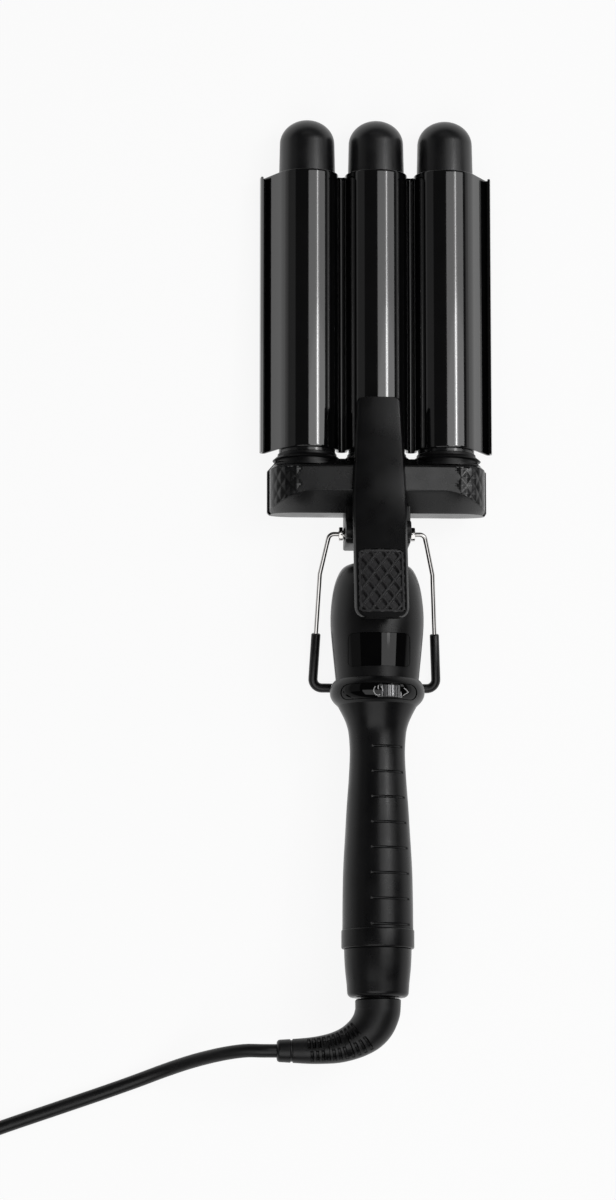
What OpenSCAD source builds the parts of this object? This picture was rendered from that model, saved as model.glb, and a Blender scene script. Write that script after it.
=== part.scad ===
// Three-barrel hair waver with a sprung clamp, a folding wire stand and a swivel mains lead.
// The tool is drawn in its own frame: X across it, +Y from the hinge line towards the barrel
// tips, +Z out of its front. place() then lays it on its back on a table at z = 0, where it
// rests on its folded stand and on its outer barrel tips. Millimetres.

/* [Barrels] */
// Outer diameter of each heated barrel
barrel_d = 25; // [23:0.5:27]
// Distance between the axes of neighbouring barrels
barrel_pitch = 30.8; // [30:0.2:33]
// Wall of the barrel tubes
barrel_wall = 1.2; // [0.8:0.1:2]
// Length of tube between the crossbar and the cool tip
barrel_show = 129.3; // [90:0.1:150]
// Length of tube held inside the crossbar
barrel_root = 10; // [8:0.5:11]
// Diameter of a cool tip at its foot
tip_d = 25; // [22:0.1:25]
// Straight length of a cool tip
tip_straight = 14.9; // [8:0.1:25]
// Height of the dome on a cool tip
tip_dome = 10.8; // [6:0.2:14]

/* [Clamp plate] */
// Gap between the barrels and the inside of the wavy clamp plate
plate_gap = 0.35; // [0.3:0.05:0.6]
// Thickness of the clamp plate
plate_t = 1.1; // [0.8:0.1:1.4]
// Gap between the crossbar and the lower edge of the plate
plate_start = 4.6; // [3.2:0.1:8]
// How far the plate reaches past the foot of the cool tips
plate_over = 0.6; // [0:0.1:3]
// Depth of the grooves between barrels below the barrel axes
groove_drop = 1; // [0.5:0.25:3]
// Angle around the outer barrels at which the side wings leave them
wing_angle = 29; // [20:1:35]
// Length of each side wing down to its lip
wing_len = 13.8; // [8:0.2:16]
// Height of the turned-up lip along each wing
lip_h = 2.6; // [1:0.2:5]

/* [Crossbar] */
// Distance from the hinge line to the underside of the crossbar
crossbar_base = 8.4; // [8:0.2:12]
// Height of the crossbar along the tool
crossbar_h = 24; // [22:0.5:28]
// Width of the crossbar
crossbar_w = 97; // [94:1:106]
// Depth of the crossbar, front to back
crossbar_depth = 34; // [32:0.5:40]
// Depth of the flat band along the crossbar's top edge
crossbar_top_flat = 16; // [12:0.5:20]
// Wall of the crossbar shells
crossbar_wall = 2; // [1.6:0.1:2.4]
// Outer diameter of the collars at the foot of the barrels
collar_d = 26.8; // [26.4:0.1:28]

/* [Hinge and lever] */
// Height of the lever's hinge pin in front of the handle axis
hinge_z = 12; // [11:0.5:13]
// Diameter of the hinge pin
hinge_pin_d = 3; // [2:0.2:4]
// Width of the hinge block
block_w = 28.6; // [27:0.2:34]
// Distance from the hinge line to the lower end of the hinge block
block_below = 5.5; // [4.5:0.5:9]
// Depth of the hinge block behind the handle axis
block_back = 12; // [10:0.5:14]
// Width of the lever over the hinge and the thumb pad
lever_w = 23.6; // [22:0.2:24]
// Width of the lever where it ends on the clamp plate
lever_tip_w = 19; // [14:0.2:22]
// Reach of the lever up the middle barrel from the hinge line
lever_up = 58; // [50:0.5:80]
// Reach of the lever down to the end of the thumb pad
lever_down = 43; // [36:0.5:46]
// Length of the recessed thumb pad
pad_len = 30.5; // [22:0.5:32]
// Width of the recessed thumb pad
pad_w = 20; // [14:0.5:20.5]
// Distance between neighbouring ridges of the thumb pad, across them
ridge_pitch = 4.6; // [3:0.1:8]
// Slope of the thumb pad's ridges against the width of the lever
ridge_angle = 55; // [40:1:65]

/* [Folding stand] */
// Diameter of the stand's wire
stand_wire_d = 2; // [1.6:0.1:2.6]
// Diameter of the soft sleeve over the stand's foot
stand_sleeve_d = 4.1; // [3.4:0.1:5]
// Length of the bush around the wire on each side of the hinge block
bush_t = 2.7; // [2:0.1:4]
// Distance between the stand's legs at the foot, wire centre to wire centre
stand_foot_w = 55; // [50:0.5:64]
// How far beside each bush the wire bends into its leg
stand_hip_out = 4; // [3.8:0.1:5]
// Distance between the stand's legs at their knees
stand_knee_w = 49.8; // [47:0.2:54]
// Gap between the folded stand's foot and the groove over the control collar
stand_rest_gap = 0.7; // [0.5:0.1:2]
// Length of the soft sleeve along each leg
stand_sleeve_len = 24.5; // [10:0.5:30]
// Bend radius of the wire
stand_bend = 4; // [3:0.25:5]

/* [Handle] */
// Diameter of the neck tube between hinge block and handle
neck_d = 18; // [16:0.2:18.4]
// Distance from the hinge line to the mouth of the handle
mouth_below = 13.5; // [12:0.25:16]
// Largest diameter of the handle's head
head_d = 41; // [39:0.2:41.4]
// Length of the handle's head
head_len = 52.1; // [51:0.1:54]
// Largest diameter of the control collar
ring_d = 41.6; // [40.6:0.1:41.8]
// Length of the control collar
ring_len = 11; // [10.6:0.1:12]
// Length of the grip
grip_len = 97.9; // [90:0.5:130]
// Diameter of the grip at its slimmest
grip_waist_d = 24.2; // [22:0.1:27]
// Wall of the handle's shells
handle_wall = 2.2; // [1.8:0.1:2.6]
// Distance between the fine grooves across the grip
grip_groove_pitch = 11.1; // [6:0.1:12]
// Number of fine grooves across the grip
grip_groove_count = 8; // [1:1:8]
// Diameter of the ring around the grip's lower end
end_ring_d = 31.8; // [31.6:0.1:36]
// Length of that ring
end_ring_len = 8.4; // [6:0.2:12]
// Diameter of the end cap where it leaves the ring
cap_d = 29.4; // [28:0.1:31]
// Diameter of the end cap at its foot
cap_foot_d = 26.2; // [24:0.1:28]
// Length of the end cap
cap_len = 21.1; // [18:0.5:30]

/* [Display and controls] */
// Width of the dark display window
window_w = 27.2; // [22:0.2:28]
// Height of the display window
window_h = 14.6; // [12:0.2:15]
// Width of the glossy control strip on the collar
strip_w = 33.6; // [30:0.2:34]
// Height of the control strip
strip_h = 6.7; // [6.2:0.1:6.8]
// Diameter of the ribbed temperature wheel
wheel_d = 14; // [12:0.2:14.4]
// Length of the temperature wheel along the handle
wheel_len = 5.4; // [4:0.1:5.6]
// How far the wheel stands out of the control strip
wheel_proud = 0.9; // [0.5:0.1:1.2]
// Angle around the handle from its front to the wheel
wheel_angle = 14.5; // [10:0.5:18]
// Number of ribs on the wheel
wheel_ribs = 26; // [16:1:32]

/* [Mains lead] */
// Diameter of the mains lead
lead_d = 6; // [5:0.1:6.2]
// Largest diameter of the strain relief boot
boot_d = 20; // [18:0.2:22]
// Mean radius of the outermost turns of the stored lead
coil_r = 42; // [40:0.5:46]
// Turns of the stored lead
coil_turns = 10.3; // [10.3:1:12.3]
// Length of the mains plug's body
plug_len = 36; // [30:0.5:44]

/* [Hidden] */
$fn = 48;

// Clearances: a shaft in its bearing, a piece seated in another, and bodies that pass by
run_gap = 0.05;
seat_gap = 0.1;
pass_gap = 0.4;
// Overshoot of a cutting tool past the face that it cuts
over = 1;
// Larger than the whole tool, for cutting it in half
huge = 600;
// Straight pieces in one round stretch of an outline
arc_steps = 6;

// ---- stations along the tool ----
side = [-1, 0, 1];
crossbar_top = crossbar_base + crossbar_h;
barrel_foot = crossbar_top - barrel_root;
barrel_end = crossbar_top + barrel_show;
barrel_bore = barrel_d - 2 * barrel_wall;
tip_rest_y = barrel_end + tip_straight;
tip_top = tip_rest_y + tip_dome;
tip_neck_d = tip_d - 0.6;
plate_low = crossbar_top + plate_start;
plate_high = barrel_end + plate_over;
mouth_y = -mouth_below;
ring_y = mouth_y - head_len;
grip_y = ring_y - ring_len;
end_ring_y = grip_y - grip_len;
cap_y = end_ring_y - end_ring_len;
foot_y = cap_y - cap_len;
// Outline of the control collar as [distance below the head, distance inside the largest radius]
ring_curve = [[0, 1.9], [1.2, 1.0], [3, 0.2], [5, 0], [7, 0.35], [9, 1.5], [ring_len, 3.5]];

// ---- outline helpers ----
function reversed(list) = [for (i = [len(list) - 1:-1:0]) list[i]];

// A smooth line through stations, with steps pieces between each pair
function smooth(p, steps) = concat(
    [for (i = [0:len(p) - 2], k = [0:steps - 1])
        let (t = k / steps,
             a = p[max(i - 1, 0)], b = p[i], c = p[i + 1], d = p[min(i + 2, len(p) - 1)])
        b + (c - a) * t / 2 + (2 * a - 5 * b + 4 * c - d) * t * t / 2
            + (3 * b - a - 3 * c + d) * t * t * t / 2],
    [p[len(p) - 1]]);

// The arc of radius r that rounds the corner at b on the way from a to c
function corner_arc(a, b, c, r, steps) =
    let (u = unit(a - b), v = unit(c - b),
         half = acos(max(-1, min(1, u * v))) / 2,
         centre = b + unit(u + v) * r / sin(half),
         from = b + u * r / tan(half) - centre,
         to = b + v * r / tan(half) - centre,
         turn = sign(from[0] * to[1] - from[1] * to[0]) * (180 - 2 * half))
    [for (k = [0:steps]) let (t = turn * k / steps)
        centre + [from[0] * cos(t) - from[1] * sin(t), from[0] * sin(t) + from[1] * cos(t)]];
// A polygon with its corners rounded, by one radius or by one for each
function rounded(p, r, steps = arc_steps) = [for (i = [0:len(p) - 1])
    let (n = len(p))
        each corner_arc(p[(i + n - 1) % n], p[i], p[(i + 1) % n], is_list(r) ? r[i] : r, steps)];
function unit(v) = v / norm(v);
function box_outline(w, h) = [[-w / 2, -h / 2], [w / 2, -h / 2], [w / 2, h / 2], [-w / 2, h / 2]];

// A line's points moved along their first axis
function inset(line, by) = [for (p = line) [p[0] - by, p[1]]];
// The radius of a profile of [radius, y] points, listed downwards, at station y
function radius_at(profile, y) = lookup(y, [for (p = reversed(profile)) [p[1], p[0]]]);

// ---- placing helpers ----
// A solid of revolution about the handle axis, from an outline of [radius, y]; angles run
// from the front towards +X
module spin(from = 0, sweep = 360) {
    rotate([-90, 0, 0]) rotate([0, 0, from - 90]) rotate_extrude(angle = sweep, $fn = 96) children();
}
// An outline in X and Z, drawn out along Y from y0 to y1
module along_y(y0, y1) {
    translate([0, y1, 0]) rotate([90, 0, 0]) linear_extrude(y1 - y0) children();
}
// An outline in Y and Z, drawn out along X, centred, w wide
module along_x(w) {
    rotate([90, 0, 90]) linear_extrude(w, center = true) children();
}
module rod_x(d, w) { rotate([0, 90, 0]) cylinder(d = d, h = w, center = true); }
module rod_y(d, y0, y1) { along_y(y0, y1) circle(d = d); }
module front_half() {
    intersection() { children(); translate([-huge / 2, -huge / 2, 0]) cube(huge); }
}
module back_half() {
    intersection() { children(); translate([-huge / 2, -huge / 2, -huge]) cube(huge); }
}

// ---- barrels ----
module barrel(i) {
    color("#1b1b1d") translate([i * barrel_pitch, 0, 0]) along_y(barrel_foot, barrel_end)
        difference() {
            circle(d = barrel_d);
            circle(d = barrel_bore);
        }
}

// Depth of a tip's spigot inside its barrel, and the tip's wall
spigot_len = 8;
tip_wall = 2.4;
module barrel_tip(i) {
    dome = [for (k = [0:10]) let (a = 9 * k)
        [tip_neck_d / 2 * cos(a), tip_rest_y + tip_dome * sin(a)]];
    spigot_r = barrel_bore / 2 - seat_gap;
    hollow_r = spigot_r - tip_wall;
    hollow_end = tip_rest_y + tip_dome - tip_wall * 2;
    color("#161617") translate([i * barrel_pitch, 0, 0]) spin() polygon(concat(
        [[hollow_r, barrel_end - spigot_len], [spigot_r, barrel_end - spigot_len],
         [spigot_r, barrel_end], [tip_d / 2, barrel_end]],
        dome,
        [[0, hollow_end], [hollow_r / 2, hollow_end], [hollow_r, tip_rest_y]]));
}

// Aluminium heat spreader with the slot for its ceramic heating element
spreader_clear = 1;
spreader_start = 4;
spreader_len = barrel_show * 0.75;
element_w = 12;
element_t = 3;
heater_foot = crossbar_top + spreader_start;
module heater(i) {
    color("#b9bcc0") translate([i * barrel_pitch, 0, 0]) {
        along_y(heater_foot, heater_foot + spreader_len) difference() {
            circle(d = barrel_bore - 2 * seat_gap);
            square([element_w + spreader_clear, element_t], center = true);
            for (s = [-1, 1]) translate([s * barrel_bore / 2, 0])
                circle(d = barrel_bore / 3);
        }
        translate([0, heater_foot + spreader_len / 2 - spreader_clear, 0])
            cube([element_w, spreader_len + 2 * spreader_clear, element_t], center = true);
    }
}

// Collar: a flange under the crossbar's top wall, a cone on it and a thin ring
shoulder_h = 1.6;
collar_ring_h = 3.1;
collar_flange_t = 1.2;
collar_ring_t = 0.5;
module barrel_collar(i) {
    bore_r = barrel_d / 2 + run_gap;
    under = crossbar_top - crossbar_wall - seat_gap;
    shoulder_r = barrel_pitch / 2 - seat_gap;
    color("#19191a") {
        translate([i * barrel_pitch, 0, 0]) spin() polygon([
            [bore_r, under - collar_flange_t], [collar_d / 2 - seat_gap, under - collar_flange_t],
            [collar_d / 2 - seat_gap, crossbar_top], [shoulder_r, crossbar_top],
            [collar_d / 2, crossbar_top + shoulder_h],
            [bore_r + collar_ring_t, crossbar_top + shoulder_h],
            [bore_r + collar_ring_t, crossbar_top + collar_ring_h],
            [bore_r, crossbar_top + collar_ring_h]]);
        intersection() {
            translate([i * barrel_pitch, 0, 0]) along_y(under - collar_flange_t, under) difference() {
                circle(r = shoulder_r);
                circle(r = bore_r);
            }
            crossbar_solid(crossbar_wall + seat_gap);
        }
    }
}

// ---- crossbar ----
// Section in Y and Z: a flat top, a steep upper bevel, a tall front and an undercut foot
crossbar_foot_flat = 12;
bevel_drop = 4.5;
foot_rise = 6.6;
// Rounding of the crossbar's ends in plan
crossbar_end_r = 13.4;
function crossbar_section(by) = let (d = crossbar_depth / 2 - by) [
    [crossbar_base + by, -crossbar_foot_flat / 2 + by / 3],
    [crossbar_base + foot_rise + by / 2, -d], [crossbar_top - bevel_drop - by / 2, -d],
    [crossbar_top - by, -crossbar_top_flat / 2 + by / 3],
    [crossbar_top - by, crossbar_top_flat / 2 - by / 3],
    [crossbar_top - bevel_drop - by / 2, d], [crossbar_base + foot_rise + by / 2, d],
    [crossbar_base + by, crossbar_foot_flat / 2 - by / 3]];
module crossbar_plan(by) {
    w = crossbar_w - 2 * by;
    d = crossbar_depth - 2 * by;
    r = crossbar_end_r - by;
    intersection() {
        square([w, d], center = true);
        union() {
            square([w - 2 * r + r * 0.02, d], center = true);
            square([w, d - 2 * r], center = true);
            for (sx = [-1, 1], sz = [-1, 1])
                translate([sx * (w / 2 - r + 0.4), sz * (d / 2 - r)]) circle(r = r);
        }
    }
}
module crossbar_solid(by = 0) {
    corner = by > 0 ? 1 : 1.8;
    intersection() {
        along_x(crossbar_w - 2 * by) polygon(rounded(crossbar_section(by), corner, 3));
        along_y(crossbar_base - over, crossbar_top + over) crossbar_plan(by);
    }
}
// Screws that hold the shells together, between and beside the barrels
screw_out = 22.8;
crossbar_screw_x = [-barrel_pitch / 2 - screw_out, -barrel_pitch / 2, barrel_pitch / 2, barrel_pitch / 2 + screw_out];
crossbar_screw_y = crossbar_base + 9.8;
screw_d = 2.8;
screw_head_d = 5.2;
screw_head_h = 1.6;
screw_sink = 0.4;
boss_d = 6.6;
pilot_d = screw_d + 2 * run_gap;
// How much deeper than its screw a pilot hole is
pilot_spare = 0.5;
screw_end_z = 9;
module at_crossbar_screws() {
    for (x = crossbar_screw_x) translate([x, crossbar_screw_y, 0]) children();
}
module crossbar_hollow() {
    difference() {
        crossbar_solid();
        difference() {
            crossbar_solid(crossbar_wall);
            at_crossbar_screws() cylinder(d = boss_d, h = huge, center = true);
        }
        for (i = side) translate([i * barrel_pitch, 0, 0])
            rod_y(collar_d, crossbar_top - bevel_drop - crossbar_wall, crossbar_top + over);
    }
}
module crossbar_front_shell() {
    color("#17181a") difference() {
        front_half() crossbar_hollow();
        at_crossbar_screws() cylinder(d = pilot_d, h = 2 * (screw_end_z + pilot_spare), center = true);
    }
}
module crossbar_back_shell() {
    head_z = crossbar_depth / 2 - screw_sink - screw_head_h;
    color("#17181a") difference() {
        back_half() crossbar_hollow();
        at_crossbar_screws() {
            cylinder(d = pilot_d, h = huge, center = true);
            translate([0, 0, -head_z - huge - seat_gap])
                cylinder(d = screw_head_d + 2 * seat_gap, h = huge);
        }
        at_block_screws() rod_y(pilot_d, 0, crossbar_top - crossbar_wall - 3 * over);
        wire_way();
    }
}
module crossbar_screws() {
    head_z = crossbar_depth / 2 - screw_sink;
    color("#8f9296") at_crossbar_screws() {
        translate([0, 0, -head_z]) cylinder(d = screw_head_d, h = screw_head_h - seat_gap);
        translate([0, 0, -head_z]) cylinder(d = screw_d, h = head_z + screw_end_z);
    }
}

// ---- hinge block and neck ----
// The bracket's ears stand inside the lever's cover, and the block's recess clears them
cover_wall = 1.8;
ear_t = 1.2;
ear_x = lever_w / 2 - cover_wall - seat_gap - ear_t / 2;
recess_w = 2 * ear_x + ear_t + 2 * pass_gap;
recess_floor = hinge_z - 5.6;
cheek_top = hinge_z - 2.6;
hinge_boss_d = hinge_pin_d + 5;
wire_way_d = 4;
block_screw_x = block_w / 2 - 4.3;
block_screw_z = -8.2;
block_screw_end = -4;
neck_wall = 1.5;
// Place of the heater wires beside the handle's screws, and their way into the crossbar
loom_x = 5;
loom_z = -3;
module at_looms() { for (s = [-1, 1]) translate([s * loom_x, 0, loom_z]) children(); }
module wire_way() {
    at_looms() rod_y(wire_way_d, -block_below - over, crossbar_base + crossbar_wall + over);
}
module at_block_screws() {
    for (s = [-1, 1]) translate([s * block_screw_x, 0, block_screw_z]) children();
}
module hinge_block() {
    top = crossbar_base + foot_rise;
    color("#151516") difference() {
        union() {
            translate([-block_w / 2, -block_below, -block_back])
                cube([block_w, block_below + top, block_back + cheek_top]);
            rod_x(hinge_boss_d, block_w - 0.02);
            translate([0, 0, hinge_z]) rod_x(hinge_boss_d, block_w);
        }
        crossbar_solid();
        translate([-recess_w / 2, -block_below - over, recess_floor])
            cube([recess_w, huge, huge]);
        translate([0, 0, hinge_z]) rod_x(hinge_pin_d + 2 * run_gap, block_w + 2 * over);
        for (s = [-1, 1]) translate([s * block_w / 2, 0, 0])
            rod_x(stand_wire_d + 2 * run_gap, 2 * stand_end_in + 2 * seat_gap);
        at_block_screws() rod_y(pilot_d, block_screw_end - pilot_spare, huge);
        wire_way();
    }
}
module hinge_block_screws() {
    seat = crossbar_base + crossbar_wall + foot_rise / 2 + seat_gap;
    color("#8f9296") at_block_screws() {
        rod_y(screw_d, block_screw_end, seat + seat_gap + screw_head_h);
        rod_y(screw_head_d, seat + seat_gap, seat + seat_gap + screw_head_h);
    }
}
neck_in_head = 8;
neck_flange_t = 2;
neck_flange_w = 1.5;
module neck_tube() {
    in_head = neck_in_head;
    flange_t = neck_flange_t;
    flange_d = neck_d + 2 * neck_flange_w;
    color("#121213") difference() {
        union() {
            rod_y(neck_d, mouth_y - in_head, -block_below);
            rod_y(flange_d, mouth_y - in_head, mouth_y - in_head + flange_t);
        }
        rod_y(neck_d - 2 * neck_wall, mouth_y - in_head - over, -block_below + over);
    }
}

// ---- stand ----
// The folded stand's foot lies behind the groove between the handle's head and its collar
stand_foot_y = -ring_y;
stand_foot_z = ring_d / 2 - ring_curve[0][1] + stand_sleeve_d / 2 + stand_rest_gap;
stand_len = norm([stand_foot_y, stand_foot_z]);
stand_fold = atan(stand_foot_z / stand_foot_y);
stand_end_in = 4;
bush_d = 6.6;
stand_pivot_w = block_w + 2 * bush_t;
stand_hip_w = stand_pivot_w + 2 * stand_hip_out;
module stand_bushes() {
    color("#c9ccd0") for (s = [-1, 1]) translate([s * (block_w + bush_t) / 2, 0, 0])
        difference() {
            rod_x(bush_d, bush_t - 2 * run_gap, $fn = 6);
            rod_x(stand_wire_d + 2 * run_gap, bush_t + 2 * over);
        }
}
// Route of the wire in its own plane: X across, and the distance from the pivots
stand_knee = 17.9;
// Bend radius beside the pivots
stand_hip_bend = 2.6;
stand_pin_x = block_w / 2 - stand_end_in;
// How far the straight pins and the bent wire share one line
stand_lap = 0.6;
stand_shoulder = stand_pivot_w / 2 + 0.8;
stand_route = [
    [-stand_shoulder, 0], [-stand_hip_w / 2, 0], [-stand_knee_w / 2, stand_knee],
    [-stand_foot_w / 2, stand_len], [stand_foot_w / 2, stand_len], [stand_knee_w / 2, stand_knee],
    [stand_hip_w / 2, 0], [stand_shoulder, 0]];
stand_bends = [stand_hip_bend, stand_bend, stand_bend, stand_bend, stand_bend, stand_hip_bend];
// A line of points in a plane, bent to radius r at its inner corners, or to one radius for each
function bent(p, r, steps) = concat([p[0]],
    [for (i = [1:len(p) - 2])
        each corner_arc(p[i - 1], p[i], p[i + 1], is_list(r) ? r[i - 1] : r, steps)], [p[len(p) - 1]]);
// Puts the wire's plane behind the handle
module stand_place() {
    rotate([stand_fold, 0, 0]) mirror([0, 1, 0]) children();
}
wire_sides = 12;
function flat(p) = [for (q = p) [q[0], q[1], 0]];
module stand_wire() {
    wire = bent(stand_route, stand_bends, 4);
    color("#c9ccd0") stand_place() {
        tube(flat(wire), stand_wire_d, wire_sides);
        for (s = [-1, 1]) translate([s * (stand_pin_x + stand_shoulder + stand_lap) / 2, 0, 0])
            rod_x(stand_wire_d, stand_shoulder + stand_lap - stand_pin_x);
    }
}
module stand_sleeve() {
    low = stand_len - stand_sleeve_len;
    share = stand_sleeve_len / (stand_len - stand_knee);
    top_x = stand_foot_w / 2 * (1 - share) + stand_knee_w / 2 * share;
    route = [[-top_x, low], [-stand_foot_w / 2, stand_len], [stand_foot_w / 2, stand_len], [top_x, low]];
    bore = (stand_wire_d + 2 * run_gap) / cos(180 / wire_sides);
    color("#0f0f10") stand_place()
        tube(flat(bent(route, stand_bend, 4)), stand_sleeve_d, wire_sides, bore);
}

// ---- clamp plate ----
plate_in_r = barrel_d / 2 + plate_gap;
plate_out_r = plate_in_r + plate_t;
// Bend radius of the lip at the foot of each wing, and how far the lip leans back in
lip_r = 1.05;
lip_lean = 10;
function arc(centre, r, from, to, steps) =
    [for (k = [0:steps]) let (a = from + (to - from) * k / steps) centre + r * [cos(a), sin(a)]];
// The plate's middle line from the top of the middle barrel out to its right lip, in X and Z
function plate_half() =
    let (r = (plate_in_r + plate_out_r) / 2, out = [barrel_pitch, 0],
         slope = [sin(wing_angle), -cos(wing_angle)], square_off = [cos(wing_angle), sin(wing_angle)],
         foot = out + r * square_off + wing_len * slope,
         lip = arc(foot + lip_r * square_off, lip_r, 180 + wing_angle, 360 + lip_lean, 6))
    concat(arc([0, 0], r, 90, 0, 12),
        arc([barrel_pitch / 2, -groove_drop], barrel_pitch / 2 - r, 180, 360, 12),
        arc(out, r, 180, wing_angle, 20), [foot], [for (k = [1:6]) lip[k]],
        [lip[6] + lip_h * [-sin(lip_lean), cos(lip_lean)]]);
// A line of points drawn t thick
function band(p, t) = let (edge = [for (i = [0:len(p) - 1]) let (w = path_way(p, i)) [-w[1], w[0]] * t / 2])
    concat([for (i = [0:len(p) - 1]) p[i] + edge[i]], reversed([for (i = [0:len(p) - 1]) p[i] - edge[i]]));
module plate_section() {
    half = plate_half();
    left = reversed([for (i = [1:len(half) - 1]) [-half[i][0], half[i][1]]]);
    polygon(band(concat(left, half), plate_t));
}
module clamp_plate() {
    color("#0b0b0c") difference() {
        along_y(plate_low, plate_high) plate_section();
        at_rivets() cylinder(d = rivet_d, h = huge);
    }
}

// ---- lever ----
// The lever's outer line in Y and Z, from the plate over the hinge to the thumb pad's end
lever_over_plate = 5.8;
lever_rise = 40;
lever_crest = plate_out_r + lever_over_plate;
lever_line = smooth([
    [lever_up, lever_crest], [lever_up - 16, lever_crest + 1], [crossbar_top - 8.4, lever_crest + 3.4],
    [crossbar_base, lever_crest + 5.3], [-8, lever_crest + 9.2], [-lever_down + 19, lever_rise - 6.3],
    [-lever_down, lever_rise]], 3);
// Corners of the lever in plan, at the thumb pad and on the clamp plate
lever_low_r = 5;
lever_up_r = 2;
lever_t = 4.6;
// Depth of the cover's hollow below its outer line
cover_gap = 2.5;
crossbar_face = crossbar_depth / 2;
// The lever's underside: on the plate, over the crossbar, then along the outer line
function under(p, t) = [p[0], p[0] > plate_low ? max(plate_out_r, p[1] - t)
    : max(p[0] > -2 ? crossbar_face + pass_gap : 0, p[1] - t)];
module lever_outline(by = 0) {
    top_w = lever_tip_w / 2 - by;
    w = lever_w / 2 - by;
    // Full width from the crossbar's lower part down
    widens = crossbar_base + crossbar_h / 4;
    low_r = lever_low_r - min(by, 2);
    up_r = max(lever_up_r - by, 0.5);
    polygon(rounded([
        [-w, -lever_down + by], [w, -lever_down + by], [w, widens], [top_w, lever_up - by],
        [-top_w, lever_up - by], [-w, widens]], [low_r, low_r, up_r, up_r, up_r, up_r]));
}
module lever_body(drop, t, by = 0) {
    line = [for (p = lever_line) [p[0], p[1] - drop]];
    intersection() {
        along_x(lever_w) polygon(concat(line, reversed([for (p = lever_line) under(p, t)])));
        linear_extrude(huge) lever_outline(by);
    }
}
// The flat thumb pad seat and its slope
// Cover left beyond the pad's end
pad_margin = 1.8;
pad_top = -lever_down + pad_margin;
pad_mid_y = pad_top + pad_len / 2;
function lever_z(y) = lookup(y, reversed(lever_line));
pad_slope = atan((lever_z(pad_top) - lever_z(pad_top + pad_len)) / pad_len);
pad_t = 1.1;
pad_sink = 0.9;
pad_mid_z = (lever_z(pad_top) + lever_z(pad_top + pad_len)) / 2;
module at_pad() { translate([0, pad_mid_y, pad_mid_z]) rotate([-pad_slope, 0, 0]) children(); }
module pad_block(grow, low, high) {
    translate([0, 0, low]) linear_extrude(high - low)
        polygon(rounded(box_outline(pad_w + 2 * grow, pad_len + 2 * grow), 2 + grow));
}
module lever_cover() {
    color("#141415") difference() {
        lever_body(0, lever_t);
        lever_body(cover_gap, lever_t + over, cover_wall);
        at_pad() pad_block(seat_gap, -pad_sink - pad_t - seat_gap, 4);
    }
}
ridge_h = 0.6;
ridge_w = 0.7;
module lever_pad() {
    span = pad_len + pad_w;
    color("#232324") at_pad() {
        pad_block(0, -pad_sink - pad_t, -pad_sink);
        intersection() {
            pad_block(0, -pad_sink - pad_t, -pad_sink + ridge_h);
            for (s = [-1, 1], k = [-floor(span / 2 / ridge_pitch):floor(span / 2 / ridge_pitch)])
                rotate([0, 0, s * ridge_angle]) translate([-span, k * ridge_pitch - ridge_w / 2, -pad_sink - pad_t])
                    cube([2 * span, ridge_w, pad_t + ridge_h]);
        }
        difference() {
            pad_block(0, -pad_sink - pad_t, -pad_sink + ridge_h);
            pad_block(-ridge_w, -huge, huge);
        }
    }
}
// Steel bracket under the cover: a strip on the plate, and two ears around the hinge pin
ear_d = hinge_pin_d + 4;
bracket_t = 1.2;
bracket_inset = 1.3;
strap_on_plate = lever_up - plate_low - cover_wall - bracket_inset;
rivet_d = 3.2;
rivet_len = 4;
rivet_y = [plate_low + strap_on_plate * 0.28, plate_low + strap_on_plate * 0.72];
module at_rivets() { for (y = rivet_y) translate([0, y, 0]) children(); }
module lever_bracket() {
    w = 2 * ear_x + ear_t;
    strap_w = lever_tip_w - 2 * (cover_wall + bracket_inset);
    drop = cover_gap + seat_gap;
    color("#a7a9ad") difference() {
        union() {
            intersection() {
                difference() {
                    lever_body(drop, drop + bracket_t);
                    lever_body(drop + bracket_t, lever_t + over);
                    rod_y(2 * (plate_out_r + seat_gap / 2), -huge, huge);
                }
                union() {
                    translate([-strap_w / 2, -ear_d / 2, 0]) cube([strap_w, ear_d / 2 + plate_low + strap_on_plate, huge]);
                    translate([-w / 2, -ear_d / 2, 0]) cube([w, ear_d, huge]);
                }
            }
            for (s = [-1, 1]) hull() {
                translate([s * ear_x, 0, hinge_z]) rod_x(ear_d, ear_t);
                translate([s * ear_x, 0, lever_z(0) - drop - bracket_t / 2]) rod_x(bracket_t, ear_t);
            }
        }
        translate([0, 0, hinge_z]) rod_x(hinge_pin_d + 2 * run_gap, w + 2 * over);
        at_rivets() cylinder(d = rivet_d, h = huge);
    }
}
module lever_rivets() {
    color("#8f9296") at_rivets() {
        translate([0, 0, plate_in_r + run_gap]) cylinder(d = rivet_d, h = rivet_len);
    }
}
module hinge_pin() {
    color("#b3b6ba") translate([0, 0, hinge_z]) rod_x(hinge_pin_d, block_w - 1);
}

// Torsion spring around the hinge pin, with a leg on the block and a leg under the lever
spring_wire = 1.1;
spring_r = 3.1;
spring_turns = 5;
spring_pitch = 1.7;
module closing_spring() {
    rings = 8 * spring_turns;
    coil = [for (k = [0:rings]) let (a = 360 * k / 8)
        [spring_pitch * (k / 8 - spring_turns / 2), spring_r * cos(a), hinge_z + spring_r * sin(a)]];
    leg = spring_r + 3;
    x0 = -spring_pitch * spring_turns / 2;
    color("#9a9da1") tube(concat(
        [[x0 - 0.3, spring_r, hinge_z - leg * 0.6]], coil,
        [[-x0 + 0.3, spring_r, hinge_z + leg]]), spring_wire, 6);
}

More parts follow.
